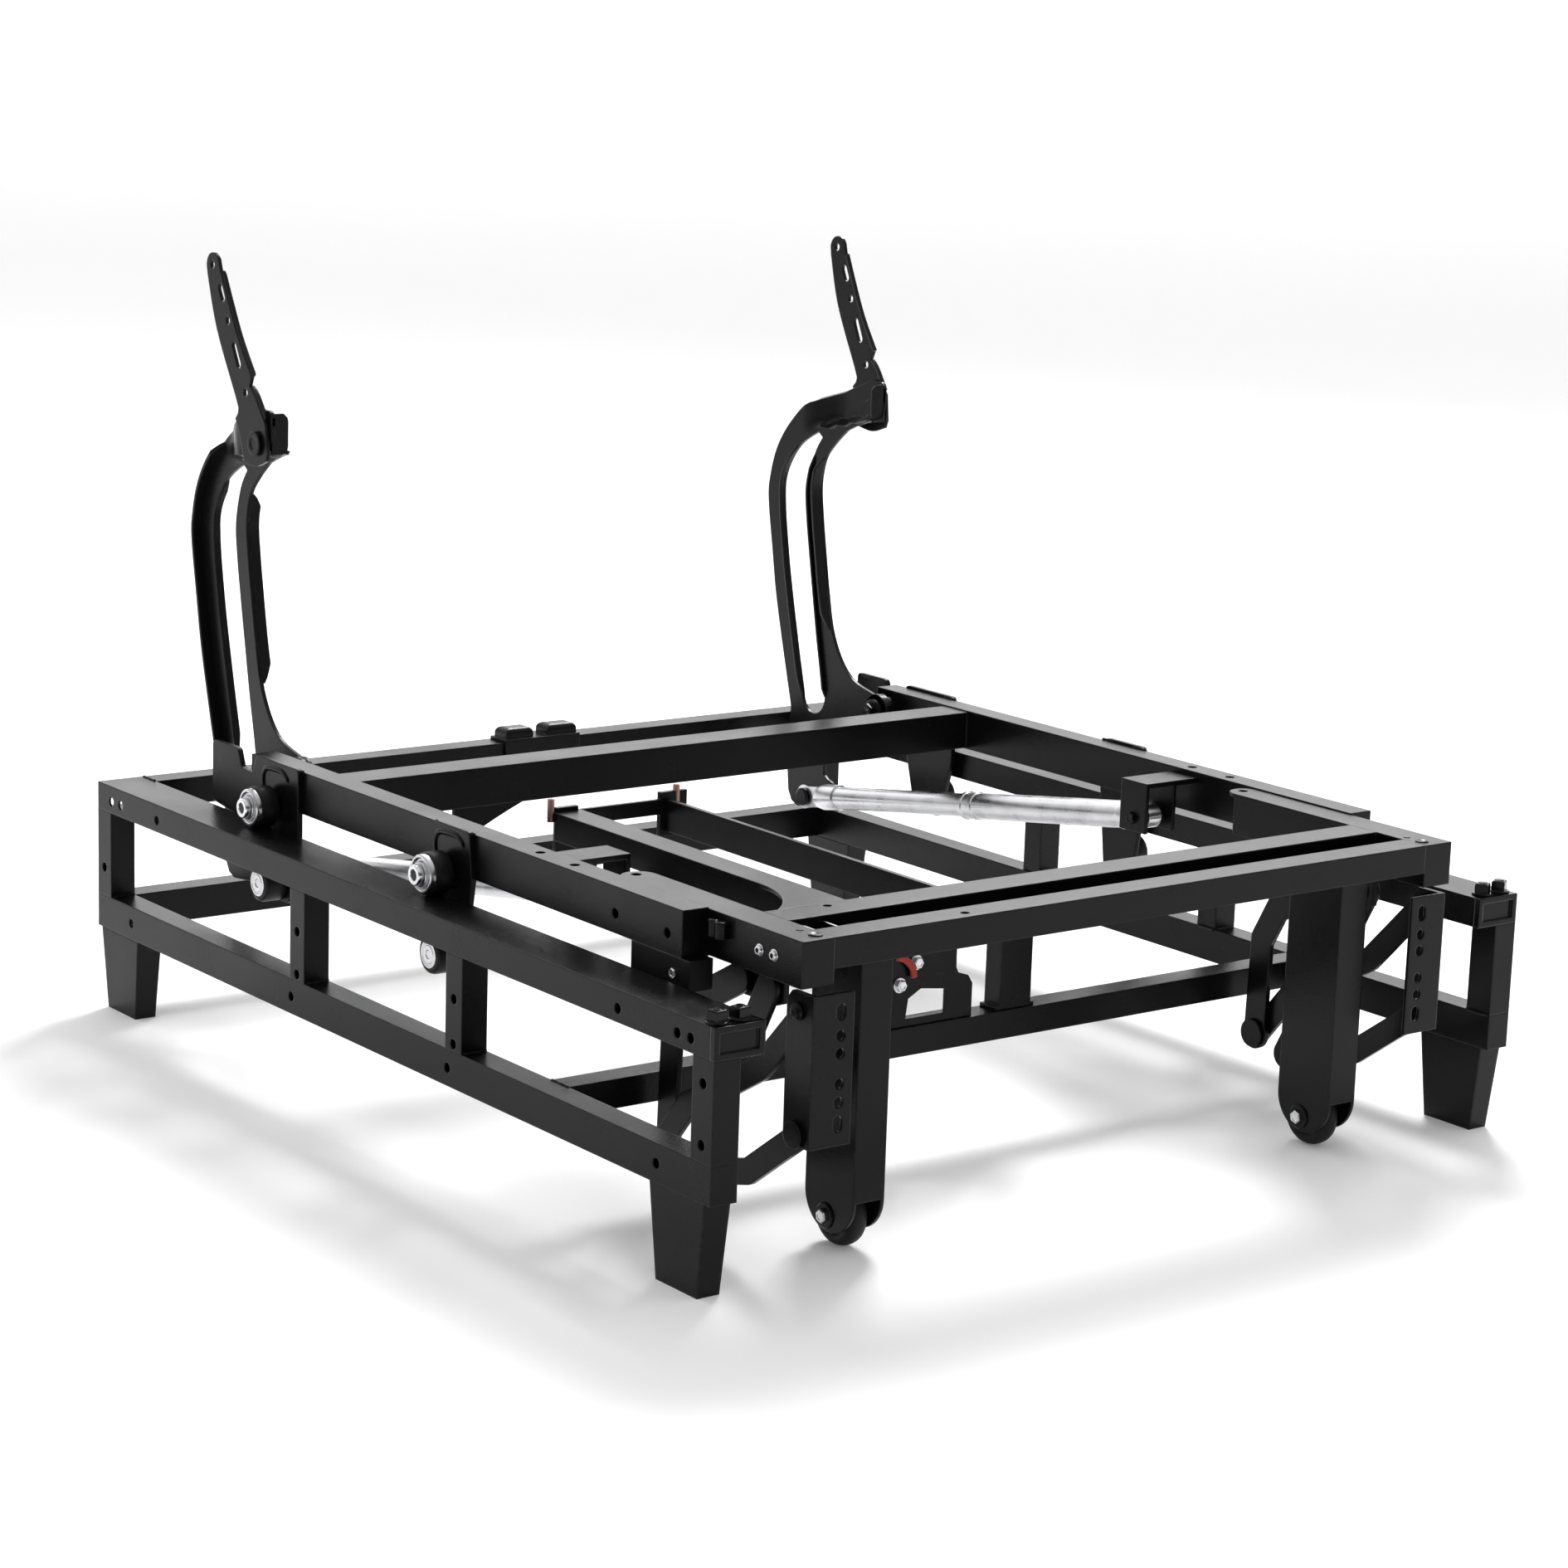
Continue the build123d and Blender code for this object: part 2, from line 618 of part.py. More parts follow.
def struts():
    """A tube hinged at the front and a rod that slides in it, ending in an eye at the arm."""
    run = (strut_eye[0] - strut_front[0], strut_eye[1] - strut_front[1])
    length = math.hypot(*run)
    slope = (run[0] / length, run[1] / length)
    middle = length * 0.5
    along = Plane(
        origin=(strut_x, *place(strut_front)), x_dir=(1, 0, 0), z_dir=(0, *run)
    )
    with BuildPart() as tube:
        with BuildSketch(along.offset(14)):
            Circle(strut_tube_radius)
        extrude(amount=middle - 14)
        with BuildSketch(along.offset(60)):
            Circle(strut_bore)
        extrude(amount=middle - 60, mode=Mode.SUBTRACT)
        neck = (strut_front[0] + 18 * slope[0], strut_front[1] + 18 * slope[1])
        bar_run((strut_x - 6, strut_x + 6), (strut_front, neck), 18)
        side_disc((strut_x - 6, strut_x + 6), strut_front, axle_radius + 0.06, Mode.SUBTRACT)
    save_pair(tube, "strut_tube")
    with BuildPart() as rod:
        with BuildSketch(along.offset(middle - 80)):
            Circle(rod_radius)
        extrude(amount=length - middle + 80 - 20)
        tail = (strut_eye[0] - 24 * slope[0], strut_eye[1] - 24 * slope[1])
        bar_run((strut_x - 3, strut_x + 3), (tail, strut_eye), 17)
        side_disc((strut_x - 3, strut_x + 3), strut_eye, strut_pin_radius + 5)
        side_disc((strut_x - 3, strut_x + 3), strut_eye, strut_pin_radius + 2, Mode.SUBTRACT)
    save_pair(rod, "strut_rod")


def front_links():
    with BuildPart() as piece:
        bar_run(inner_layer, (front_pivot, cross_pivot, foot_pivot), link_width)
        side_disc((hanger_x[0] - 1.5, inner_layer[0]), front_pivot, pin_radius)
        side_disc((inner_layer[1], middle_layer[1] + 1.5), cross_pivot, pin_radius)
        side_disc((inner_layer[1], middle_layer[1] + 1.5), foot_pivot, pin_radius)
    save_pair(piece, "front_link")


def rear_links():
    with BuildPart() as piece:
        bar_run(inner_layer, (rear_pivot, (126, 155), (150, 142), (164, 116), back_pivot), link_width)
        side_disc(inner_layer, back_pivot, link_width / 2 + 2)
        side_disc(inner_layer, back_pivot, open_back_hole_radius, Mode.SUBTRACT)
        side_disc((hanger_x[0] - 1.5, inner_layer[0]), rear_pivot, pin_radius)
    save_pair(piece, "rear_link")


def long_links():
    with BuildPart() as piece:
        width = link_width - 3
        bar_run(middle_layer, (bracket_top_pivot, (60, 124), cross_pivot, (136, 81), back_pivot), width)
        side_disc(middle_layer, cross_pivot, pin_hole_radius, Mode.SUBTRACT)
        side_disc((inner_layer[0] - 1, middle_layer[0]), back_pivot, pin_radius)
        side_disc((inner_layer[0] - 3, inner_layer[0] - 1), back_pivot, open_back_hole_radius + 3.5)
        side_disc((middle_layer[1], outer_layer[1] + 1.5), bracket_top_pivot, pin_radius)
    save_pair(piece, "long_link")


def lower_links():
    with BuildPart() as piece:
        bar_run(middle_layer, (bracket_low_pivot, (70, 53), foot_pivot), link_width - 3)
        side_disc(middle_layer, foot_pivot, pin_hole_radius, Mode.SUBTRACT)
        head_start = outer_layer[1] + 0.5
        side_disc((middle_layer[1], head_start), bracket_low_pivot, pin_radius)
        side_disc((head_start, head_start + 2), bracket_low_pivot, open_bracket_hole_radius + 3)
    save_pair(piece, "lower_link")


def footrest_brackets():
    """An angle with rows of holes that carries the footrest board."""
    face_x = outer_layer[0] - 28
    hole_x = outer_layer[0] - footrest_hole_offset
    with BuildPart() as piece:
        block((face_x, outer_layer[1]), (0, sheet), (86, 184))
        side_plate(
            outer_layer,
            ((sheet, 86), (22, 86), (27, 92), (27, 178), (22, 184), (sheet, 184)),
        )
        with BuildSketch(Plane.XZ.offset(-front_y)):
            for z in (157, 145.5, 126, 114):
                with Locations((hole_x, z)):
                    Circle(footrest_hole_radius)
            for z in (172, 100):
                with Locations((hole_x, z)):
                    SlotOverall(11, 2 * footrest_hole_radius, rotation=90)
        extrude(amount=-sheet, mode=Mode.SUBTRACT)
        side_disc(outer_layer, bracket_top_pivot, pin_hole_radius, Mode.SUBTRACT)
        side_disc(outer_layer, bracket_low_pivot, open_bracket_hole_radius, Mode.SUBTRACT)
    save_pair(piece, "footrest_bracket")


os.makedirs("parts", exist_ok=True)
bottom_rails()
top_rails()
posts()
rear_rails()
middle_rail()
feet()
end_caps()
motor_bracket()
cross_post()
rear_rail_bracket()
seat_rails()
rear_cross_tube()
rear_tube_gusset()
carriage_arms()
front_cross_tubes()
inner_bars()
bar_brackets()
roller_plates()
guide_rollers()
support_rollers()
wheel_legs()
wheels()
carriage_brackets()
back_arms()
arm_tip("right", -tip_lean)
arm_tip("left", tip_lean)
struts()
front_links()
rear_links()
long_links()
lower_links()
footrest_brackets()
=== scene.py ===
# %% [markdown]
# A power recliner mechanism under soft studio light.
#
# Every steel piece is already here, so this lesson adds the camera, the light, the finishes
# and the small hardware.

# %% load the model
import json
import math
import random
import bmesh
import bpy
from mathutils import Matrix, Vector


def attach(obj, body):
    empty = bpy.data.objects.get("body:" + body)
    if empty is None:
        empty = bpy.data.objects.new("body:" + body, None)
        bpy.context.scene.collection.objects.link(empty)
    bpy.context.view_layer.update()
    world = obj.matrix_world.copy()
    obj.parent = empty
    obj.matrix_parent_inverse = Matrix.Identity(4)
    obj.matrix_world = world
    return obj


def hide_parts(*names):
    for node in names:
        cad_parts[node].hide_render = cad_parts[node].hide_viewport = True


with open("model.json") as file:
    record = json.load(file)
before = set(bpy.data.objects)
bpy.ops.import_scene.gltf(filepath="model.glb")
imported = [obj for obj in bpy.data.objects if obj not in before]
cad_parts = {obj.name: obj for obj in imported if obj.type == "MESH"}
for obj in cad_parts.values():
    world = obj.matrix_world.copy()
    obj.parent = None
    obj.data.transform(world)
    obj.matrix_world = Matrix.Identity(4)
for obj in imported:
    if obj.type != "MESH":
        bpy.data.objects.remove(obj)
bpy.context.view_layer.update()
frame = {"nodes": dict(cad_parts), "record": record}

nodes = frame["nodes"]
print("nodes:", len(nodes))

# %% [markdown]
# The camera stands in front of the mechanism, to the left and a little above it. A long lens,
# 88 mm, keeps the far side nearly as large as the near side, as in a catalogue picture.
# It could be aimed by hand, but three written directions give the same picture every time:
# where it looks, what is right in the picture and what is up, with its slight tilt.

# %% the camera
camera_data = bpy.data.cameras.new("camera")
camera_data.lens = 87.96
camera_data.sensor_width = 36
camera = bpy.data.objects.new("camera", camera_data)
bpy.context.scene.collection.objects.link(camera)
bpy.context.scene.camera = camera

CAMERA_PLACE = (-1.66116, -2.18682, 0.79565)
turn, down, roll = math.radians(37.24), math.radians(11.97), math.radians(1.90)
forward = Vector((
    math.sin(turn) * math.cos(down), math.cos(turn) * math.cos(down), -math.sin(down)))
level = Vector((math.cos(turn), -math.sin(turn), 0))
upward = level.cross(forward)
right = level * math.cos(roll) + upward * math.sin(roll)
top = upward * math.cos(roll) - level * math.sin(roll)
camera.matrix_world = Matrix.Translation(CAMERA_PLACE) @ Matrix(
    (right, top, -forward)).transposed().to_4x4()
print("camera looks along", [round(v, 2) for v in forward])

# %% [markdown]
# The floor and the wall are one white sheet that bends up behind the object, as in a studio.
# The bend is so far away and so soft that no line shows. A faint glow of its own keeps the
# sheet close to white where the lamps reach it less.

# %% the sheet under and behind
paper = bpy.data.materials.new("white_paper")
paper.use_nodes = True
paper_shader = paper.node_tree.nodes["Principled BSDF"]
paper_shader.inputs["Base Color"].default_value = (0.93, 0.93, 0.93, 1)
paper_shader.inputs["Roughness"].default_value = 0.8
paper_shader.inputs["Specular IOR Level"].default_value = 0.2
paper_shader.inputs["Emission Color"].default_value = (1, 1, 1, 1)
paper_place = paper.node_tree.nodes.new("ShaderNodeTexCoord")
paper_split = paper.node_tree.nodes.new("ShaderNodeSeparateXYZ")
paper_glow = paper.node_tree.nodes.new("ShaderNodeMapRange")
paper_glow.interpolation_type = "SMOOTHSTEP"
paper_glow.inputs["From Max"].default_value = 1.4
paper_glow.inputs["To Min"].default_value = 0.10
paper_glow.inputs["To Max"].default_value = 1.3
paper.node_tree.links.new(paper_place.outputs["Object"], paper_split.inputs["Vector"])
paper.node_tree.links.new(paper_split.outputs["Z"], paper_glow.inputs["Value"])
paper.node_tree.links.new(paper_glow.outputs["Result"], paper_shader.inputs["Emission Strength"])

SHEET_FRONT, SHEET_SIDE, SHEET_TOP = -6.0, 9.0, 9.0
BEND_START, BEND_RADIUS, BEND_STEPS = 4.0, 2.5, 16
profile = [(SHEET_FRONT, 0.0), (BEND_START, 0.0)]
for step in range(1, BEND_STEPS + 1):
    angle = math.radians(90 * step / BEND_STEPS)
    profile.append((BEND_START + BEND_RADIUS * math.sin(angle),
                    BEND_RADIUS * (1 - math.cos(angle))))
profile.append((BEND_START + BEND_RADIUS, SHEET_TOP))
away = Vector((math.sin(turn), math.cos(turn), 0))
points, faces = [], []
for distance, height in profile:
    for side in (-SHEET_SIDE, SHEET_SIDE):
        points.append(away * distance + level * side + Vector((0, 0, height)))
for row in range(len(profile) - 1):
    faces.append((2 * row, 2 * row + 1, 2 * row + 3, 2 * row + 2))
sheet_mesh = bpy.data.meshes.new("backdrop")
sheet_mesh.from_pydata(points, [], faces)
sheet_mesh.materials.append(paper)
sheet_mesh.shade_smooth()
backdrop = bpy.data.objects.new("backdrop", sheet_mesh)
bpy.context.scene.collection.objects.link(backdrop)
print("backdrop strips:", len(faces))

# %% [markdown]
# Black paint shows the room more than it shows its own colour. The world is therefore bright
# overhead and behind the object and dim on the camera's side: upright faces stay dark and the
# top faces turn grey. A photograph of a room could do this too, but a plain ramp has no
# pattern to show in the paint. It follows the direction of each ray, not the camera.

# %% the world
DIM, BRIGHT = 0.15, 0.95
world = bpy.data.worlds.new("studio")
bpy.context.scene.world = world
world.use_nodes = True
sky = world.node_tree
sky_place = sky.nodes.new("ShaderNodeTexCoord")
sky_dot = sky.nodes.new("ShaderNodeVectorMath")
sky_dot.operation = "DOT_PRODUCT"
sky_dot.inputs[1].default_value = (away.x * 0.8, away.y * 0.8, 0.6)
sky_range = sky.nodes.new("ShaderNodeMapRange")
sky_range.inputs["From Min"].default_value = -0.6
sky_range.inputs["From Max"].default_value = 0.7
sky_range.inputs["To Min"].default_value = DIM
sky_range.inputs["To Max"].default_value = BRIGHT
sky.links.new(sky_place.outputs["Generated"], sky_dot.inputs[0])
sky.links.new(sky_dot.outputs["Value"], sky_range.inputs["Value"])
sky.links.new(sky_range.outputs["Result"], sky.nodes["Background"].inputs["Strength"])
sky.nodes["Background"].inputs["Color"].default_value = (1, 1, 1, 1)
bpy.context.scene.view_settings.view_transform = "Standard"
print("world strength from", DIM, "to", BRIGHT)

# %% [markdown]
# Two large soft lamps shape the steel. The key is high on the right and behind, so the
# shadows fall towards the lower left, as in the photograph. The fill opens the left side.
# Smaller lamps would give harder shadows, and the photograph has soft ones.

# %% the lamps


def soft_lamp(name, place, target, size, power):
    lamp_data = bpy.data.lights.new(name, "AREA")
    lamp_data.shape = "SQUARE"
    lamp_data.size = size
    lamp_data.energy = power
    lamp = bpy.data.objects.new(name, lamp_data)
    lamp.matrix_world = Matrix.Translation(place) @ (
        Vector(place) - Vector(target)).to_track_quat("Z", "Y").to_matrix().to_4x4()
    bpy.context.scene.collection.objects.link(lamp)
    return lamp


lamps = [soft_lamp("key", (1.7, 1.4, 2.4), (0, 0, 0.1), 0.9, 100),
         soft_lamp("fill", (-2.2, -1.2, 2.4), (0, 0, 0.2), 2.0, 6)]
print("lamps in watts:", {lamp.name: lamp.data.energy for lamp in lamps})

# %% [markdown]
# Every finish here is built from the same four steps: a noise that lives in the piece's own
# space, a range that turns it into a useful value, a grain with softened edges, and a mix of
# two shades. The bevel node rounds the light on an edge and leaves the shape alone, because
# folded tube never has a knife edge. Real bevels would do it too, with many more faces.

# %% the steps of a finish


def noise(tree, vector, scale, detail):
    spots = tree.nodes.new("ShaderNodeTexNoise")
    spots.inputs["Scale"].default_value = scale
    spots.inputs["Detail"].default_value = detail
    tree.links.new(vector, spots.inputs["Vector"])
    return spots.outputs["Fac"]


def spread(tree, source, low, high, start=0.3, end=0.7):
    scale = tree.nodes.new("ShaderNodeMapRange")
    scale.inputs["From Min"].default_value = start
    scale.inputs["From Max"].default_value = end
    scale.inputs["To Min"].default_value = low
    scale.inputs["To Max"].default_value = high
    tree.links.new(source, scale.inputs["Value"])
    return scale.outputs["Result"]


def grain_and_edge(tree, height, strength, depth, edge_radius, samples):
    rounded = tree.nodes.new("ShaderNodeBevel")
    rounded.samples = samples
    rounded.inputs["Radius"].default_value = edge_radius
    bump = tree.nodes.new("ShaderNodeBump")
    bump.inputs["Strength"].default_value = strength
    bump.inputs["Distance"].default_value = depth
    tree.links.new(height, bump.inputs["Height"])
    tree.links.new(rounded.outputs["Normal"], bump.inputs["Normal"])
    tree.links.new(bump.outputs["Normal"], tree.nodes["Principled BSDF"].inputs["Normal"])
    return rounded.outputs["Normal"]


def two_shades(tree, factor, first, second):
    mix = tree.nodes.new("ShaderNodeMix")
    mix.data_type = "RGBA"
    mix.inputs["A"].default_value = (*first, 1)
    mix.inputs["B"].default_value = (*second, 1)
    tree.links.new(factor, mix.inputs["Factor"])
    tree.links.new(mix.outputs["Result"], tree.nodes["Principled BSDF"].inputs["Base Color"])


print("steps:", [step.__name__ for step in (noise, spread, grain_and_edge, two_shades)])

# %% [markdown]
# The frame is mild steel with a baked black powder coat. The powder melts into a skin with a fine
# grain. The edges are painted paler, a painted highlight for the thin lines of light on the
# rounded corners. Three noises do this here: one bends the surface, one changes how sharply it
# reflects, and one breaks up the painted edge highlight.

# %% black powder coat
# The colour of the painted highlight along the edges, as a multiple of the coat's colour.
EDGE_HIGHLIGHT_COLOUR = (6, 6, 6.5)


def powder_coat(name, shade, gloss, grain, edge_radius=0.0015, tint=(1, 1, 1.08)):
    material = bpy.data.materials.new(name)
    material.use_nodes = True
    tree = material.node_tree
    shader = tree.nodes["Principled BSDF"]
    shader.inputs["Specular IOR Level"].default_value = 0.15
    place = tree.nodes.new("ShaderNodeTexCoord").outputs["Object"]
    rounded = grain_and_edge(tree, noise(tree, place, 1100, 3), grain, 0.0005, edge_radius, 6)
    sharpness = spread(tree, noise(tree, place, 14, 5), gloss - 0.05, gloss + 0.07)
    tree.links.new(sharpness, shader.inputs["Roughness"])
    # The difference between the rounded and the true normal is large only beside an edge.
    form = tree.nodes.new("ShaderNodeNewGeometry")
    facing = tree.nodes.new("ShaderNodeVectorMath")
    facing.operation = "DOT_PRODUCT"
    tree.links.new(rounded, facing.inputs[0])
    tree.links.new(form.outputs["True Normal"], facing.inputs[1])
    # Painted highlight: beside each edge the base colour turns paler, broken up by a noise.
    painted_edge_highlight = tree.nodes.new("ShaderNodeMath")
    painted_edge_highlight.operation = "MULTIPLY"
    tree.links.new(spread(tree, facing.outputs["Value"], 1, 0, 0.80, 0.99), painted_edge_highlight.inputs[0])
    tree.links.new(spread(tree, noise(tree, place, 160, 4), 0.25, 1), painted_edge_highlight.inputs[1])
    two_shades(tree, painted_edge_highlight.outputs["Value"],
               [shade * part for part in tint], [shade * part for part in EDGE_HIGHLIGHT_COLOUR])
    return material


slot_materials = {
    "frame_black": powder_coat("frame_coat", 0.004, 0.24, 0.34),
    "carriage_black": powder_coat("carriage_coat", 0.004, 0.22, 0.30),
    "bracket_black": powder_coat("bracket_coat", 0.004, 0.26, 0.26),
    "arm_black": powder_coat("arm_coat", 0.006, 0.24, 0.24),
    "link_black": powder_coat("link_coat", 0.004, 0.24, 0.18),
    "foot_black": powder_coat("foot_plastic", 0.006, 0.36, 0.24, 0.0025),
    "cap_black": powder_coat("cap_gloss", 0.004, 0.10, 0.30, 0.0016),
    "wheel_black": powder_coat("wheel_rubber", 0.014, 0.50, 0.30, 0.0015),
}
print("black finishes:", len(slot_materials))

# %% [markdown]
# The rollers, bolts and struts are zinc-plated steel. Plating follows the marks of the lathe, so
# the noise is stretched into fine streaks, and a slow noise makes the faint cloudy patches.

# %% zinc plate
CLOUD_SHADE = 0.8


def zinc_plate(name, shade, gloss, streaks, along=(1, 1, 1), tint=(1, 1, 1.03)):
    material = bpy.data.materials.new(name)
    material.use_nodes = True
    tree = material.node_tree
    shader = tree.nodes["Principled BSDF"]
    shader.inputs["Metallic"].default_value = 1
    place = tree.nodes.new("ShaderNodeTexCoord").outputs["Object"]
    stretch = tree.nodes.new("ShaderNodeMapping")
    stretch.inputs["Scale"].default_value = along
    tree.links.new(place, stretch.inputs["Vector"])
    fine = noise(tree, stretch.outputs["Vector"], 500, 4)
    grain_and_edge(tree, fine, streaks, 0.0003, 0.0005, 4)
    clouds = noise(tree, place, 45, 4)
    sharpness = spread(tree, clouds, gloss - 0.05, gloss + 0.10)
    tree.links.new(sharpness, shader.inputs["Roughness"])
    two_shades(tree, spread(tree, clouds, 0, 1, 0.35, 0.6),
               [shade * part * CLOUD_SHADE for part in tint], [shade * part for part in tint])
    return material


slot_materials["roller_zinc"] = zinc_plate("zinc_rollers", 0.60, 0.22, 0.10)
slot_materials["strut_zinc"] = zinc_plate("zinc_struts", 0.66, 0.27, 0.12, along=(1, 0.06, 1))
print("finishes in all:", len(slot_materials))

# %% [markdown]
# Each CAD piece came with the name of its finish, so one loop paints them all. The old material
# is cleared first, because a piece keeps every material that it was ever given.

# %% finishes on the CAD pieces
for row in frame["record"]["subparts"]:
    piece = nodes[row["node"]]
    piece.data.materials.clear()
    piece.data.materials.append(slot_materials[row["material_slot"]])

# %% [markdown]
# Every place below is given in millimetres as on a drawing: across from the middle, back from
# the front of the base, and up from the floor. One function turns that into Blender's metres.
# Another turns a bmesh into a finished piece that rides on a body of the mechanism.

# %% places and pieces
MIDDLE_D = 402  # millimetres from the front of the base to the middle
hardware = bpy.data.collections.new("hardware")
bpy.context.scene.collection.children.link(hardware)
SIDES = (("left", -1), ("right", 1))
ACROSS = Vector((1, 0, 0))
UP = Vector((0, 0, 1))
BACK = Vector((0, 1, 0))


def at(x, d, z):
    return Vector((x / 1000, (d - MIDDLE_D) / 1000, z / 1000))


def add_piece(name, shape, coat, body, sharp=32):
    bmesh.ops.recalc_face_normals(shape, faces=shape.faces)
    mesh = bpy.data.meshes.new(name)
    shape.to_mesh(mesh)
    shape.free()
    mesh.materials.append(coat)
    mesh.shade_smooth()
    mesh.set_sharp_from_angle(angle=math.radians(sharp))
    piece = bpy.data.objects.new(name, mesh)
    hardware.objects.link(piece)
    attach(piece, body)
    return piece


print("the front of the base in metres:", [round(v, 3) for v in at(0, 0, 0)])

# %% [markdown]
# Bolts, rollers, rings and caps are all turned parts. A turned part is a half outline spun about
# an axis, so one function spins a list of (reach along the axis, radius) in millimetres. Six
# steps in place of forty give the hexagon of a bolt head from the same function.

# %% turned parts


def turned(shape, centre, axis, outline, steps=40, start=0.0):
    axis = axis.normalized()
    first = axis.orthogonal().normalized()
    if abs(axis.x) > 0.9:
        first = UP.copy()
    second = axis.cross(first).normalized()
    rings = []
    for reach, radius in outline:
        middle = centre + axis * (reach / 1000)
        if radius <= 0:
            rings.append([shape.verts.new(middle)])
            continue
        ring = []
        for number in range(steps):
            angle = start + math.tau * number / steps
            spoke = first * math.cos(angle) + second * math.sin(angle)
            ring.append(shape.verts.new(middle + spoke * (radius / 1000)))
        rings.append(ring)
    for near, far in zip(rings, rings[1:]):
        for number in range(steps):
            after = (number + 1) % steps
            corners = [near[number % len(near)], near[after % len(near)],
                       far[after % len(far)], far[number % len(far)]]
            unique = []
            for corner in corners:
                if corner not in unique:
                    unique.append(corner)
            if len(unique) > 2:
                shape.faces.new(unique)


trial = bmesh.new()
turned(trial, Vector((0, 0, 0)), UP, ((0, 0), (0, 5), (5, 5), (5, 0)), 6)
print("faces of a turned hexagon:", len(trial.faces))
trial.free()

# %% [markdown]
# Three kinds of head are needed: the hexagon with a washer, the domed rivet and the round head
# with a recess. Ready models could be placed instead, but these outlines are so short that each
# head can have the size it has in the photograph.

# %% the heads of bolts and rivets


def hex_bolt(shape, centre, axis, across=9.0, height=4.0, washer=0.0, turn_by=0.2):
    """A hexagon head with chamfered corners on a washer, and a dished top."""
    radius = across / 2 / math.cos(math.pi / 6)
    lift = 0.0
    if washer:
        lift = 1.2
        turned(shape, centre, axis, (
            (-0.5, 0), (-0.5, washer), (lift - 0.3, washer), (lift, washer - 0.4), (lift, 0),
        ), 28)
    top_at, shoulder, dish = lift + height, lift + height - 0.9, lift + height - 0.35
    turned(shape, centre, axis, ((lift - 0.5, 0), (lift, radius), (shoulder, radius)), 6, turn_by)
    turned(shape, centre, axis, (
        (shoulder, radius * 0.99), (top_at, radius * 0.84),
        (top_at, radius * 0.60), (dish, radius * 0.48), (dish, 0),
    ), 6, turn_by)


def rivet_head(shape, centre, axis, radius=6.0, height=2.6):
    """A domed rivet head with the small flat and ring that the forming tool leaves."""
    turned(shape, centre, axis, (
        (-0.6, 0), (-0.6, radius), (0.5, radius), (height * 0.75, radius * 0.78),
        (height, radius * 0.42), (height - 0.5, radius * 0.34), (height - 0.5, 0),
    ), 26)


def socket_bolt(shape, centre, axis, radius=5.0, height=4.0):
    """A round head with a six-sided recess."""
    turned(shape, centre, axis, (
        (-0.6, 0), (-0.6, radius * 1.25), (0.6, radius * 1.25), (0.7, radius),
        (height - 0.8, radius), (height, radius * 0.82), (height, radius * 0.52),
    ), 28)
    turned(shape, centre, axis, (
        (height, radius * 0.52), (height - 2.4, radius * 0.46), (height - 2.4, 0),
    ), 6)


trial = bmesh.new()
hex_bolt(trial, at(0, 0, 0), UP, washer=6.0)
print("faces of a hexagon head with its washer:", len(trial.faces))
trial.free()

# %% [markdown]
# The rollers are ball bearings pressed into a black nylon tread. From outside one sees a plated
# face with a rounded rim, a dark groove, a raised inner ring and the hollow end of the axle.
# The CAD rollers are plain discs, so turned pieces take their places, above and below the rail.

# %% the rollers
UPPER_ROLLERS = (("front", 371), ("rear", 609))
LOWER_ROLLERS = (368, 604)
UPPER_ROLLER_X, UPPER_ROLLER_Z = 310, 190
LOWER_ROLLER_X, LOWER_ROLLER_Z = 304, 134
roller_plate = slot_materials["roller_zinc"]
tread_coat = powder_coat("roller_tread", 0.010, 0.38, 0.22, 0.0012)
tread = (
    (0.4, 4.4), (0.4, 13.6), (1.4, 14.6), (2.8, 15.0), (13.6, 15.0), (15.0, 14.4),
    (15.4, 13.2), (15.4, 4.4),
)
plated_face = (
    (13.0, 12.6), (15.0, 13.9), (17.4, 13.9), (18.6, 13.5), (19.2, 12.7), (19.2, 11.6),
    (18.6, 11.0), (17.4, 10.6), (17.4, 9.4), (18.6, 9.0), (19.7, 8.7), (20.0, 8.1),
    (20.0, 5.4), (19.4, 4.4),
)
for side, sign in SIDES:
    for row, d in UPPER_ROLLERS:
        centre = at(sign * UPPER_ROLLER_X, d, UPPER_ROLLER_Z)
        shape = bmesh.new()
        turned(shape, centre, ACROSS * sign, plated_face, 48)
        face = add_piece(f"{side}_{row}_roller_face", shape, roller_plate,
                         f"{side}_{row}_roller")
        shape = bmesh.new()
        turned(shape, centre, ACROSS * sign, tread, 48)
        add_piece(f"{side}_{row}_roller_tread", shape, tread_coat,
                  f"{side}_{row}_roller")
        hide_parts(f"{side}_{row}_roller")
print("upper rollers:", 2 * len(UPPER_ROLLERS))

# %% [markdown]
# Below each rail run two guide rollers, which keep the seat from lifting. They hang on the
# carriage and don't turn here, so all four can share one mesh for the treads and one for the
# plated faces.

# %% the guide rollers
guide_tread = (
    (0.0, 0.0), (0.0, 12.0), (1.0, 13.4), (3.0, 14.0), (16.0, 14.0), (18.4, 13.2),
    (19.4, 11.6), (19.4, 0.0),
)
guide_face = (
    (19.0, 9.6), (19.9, 9.6), (20.0, 9.2), (20.0, 8.0), (19.7, 7.7), (19.7, 6.6),
    (20.0, 6.2), (20.0, 3.2), (19.5, 2.8), (19.5, 0.0),
)
faces, treads = bmesh.new(), bmesh.new()
for _, sign in SIDES:
    for d in LOWER_ROLLERS:
        centre = at(sign * LOWER_ROLLER_X, d, LOWER_ROLLER_Z)
        turned(treads, centre, ACROSS * sign, guide_tread, 48)
        turned(faces, centre, ACROSS * sign, guide_face, 40)
lower_faces = add_piece("guide_roller_faces", faces, roller_plate, "carriage")
add_piece("guide_roller_treads", treads, tread_coat, "carriage")
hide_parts("guide_rollers")
print("guide rollers:", 2 * len(LOWER_ROLLERS))

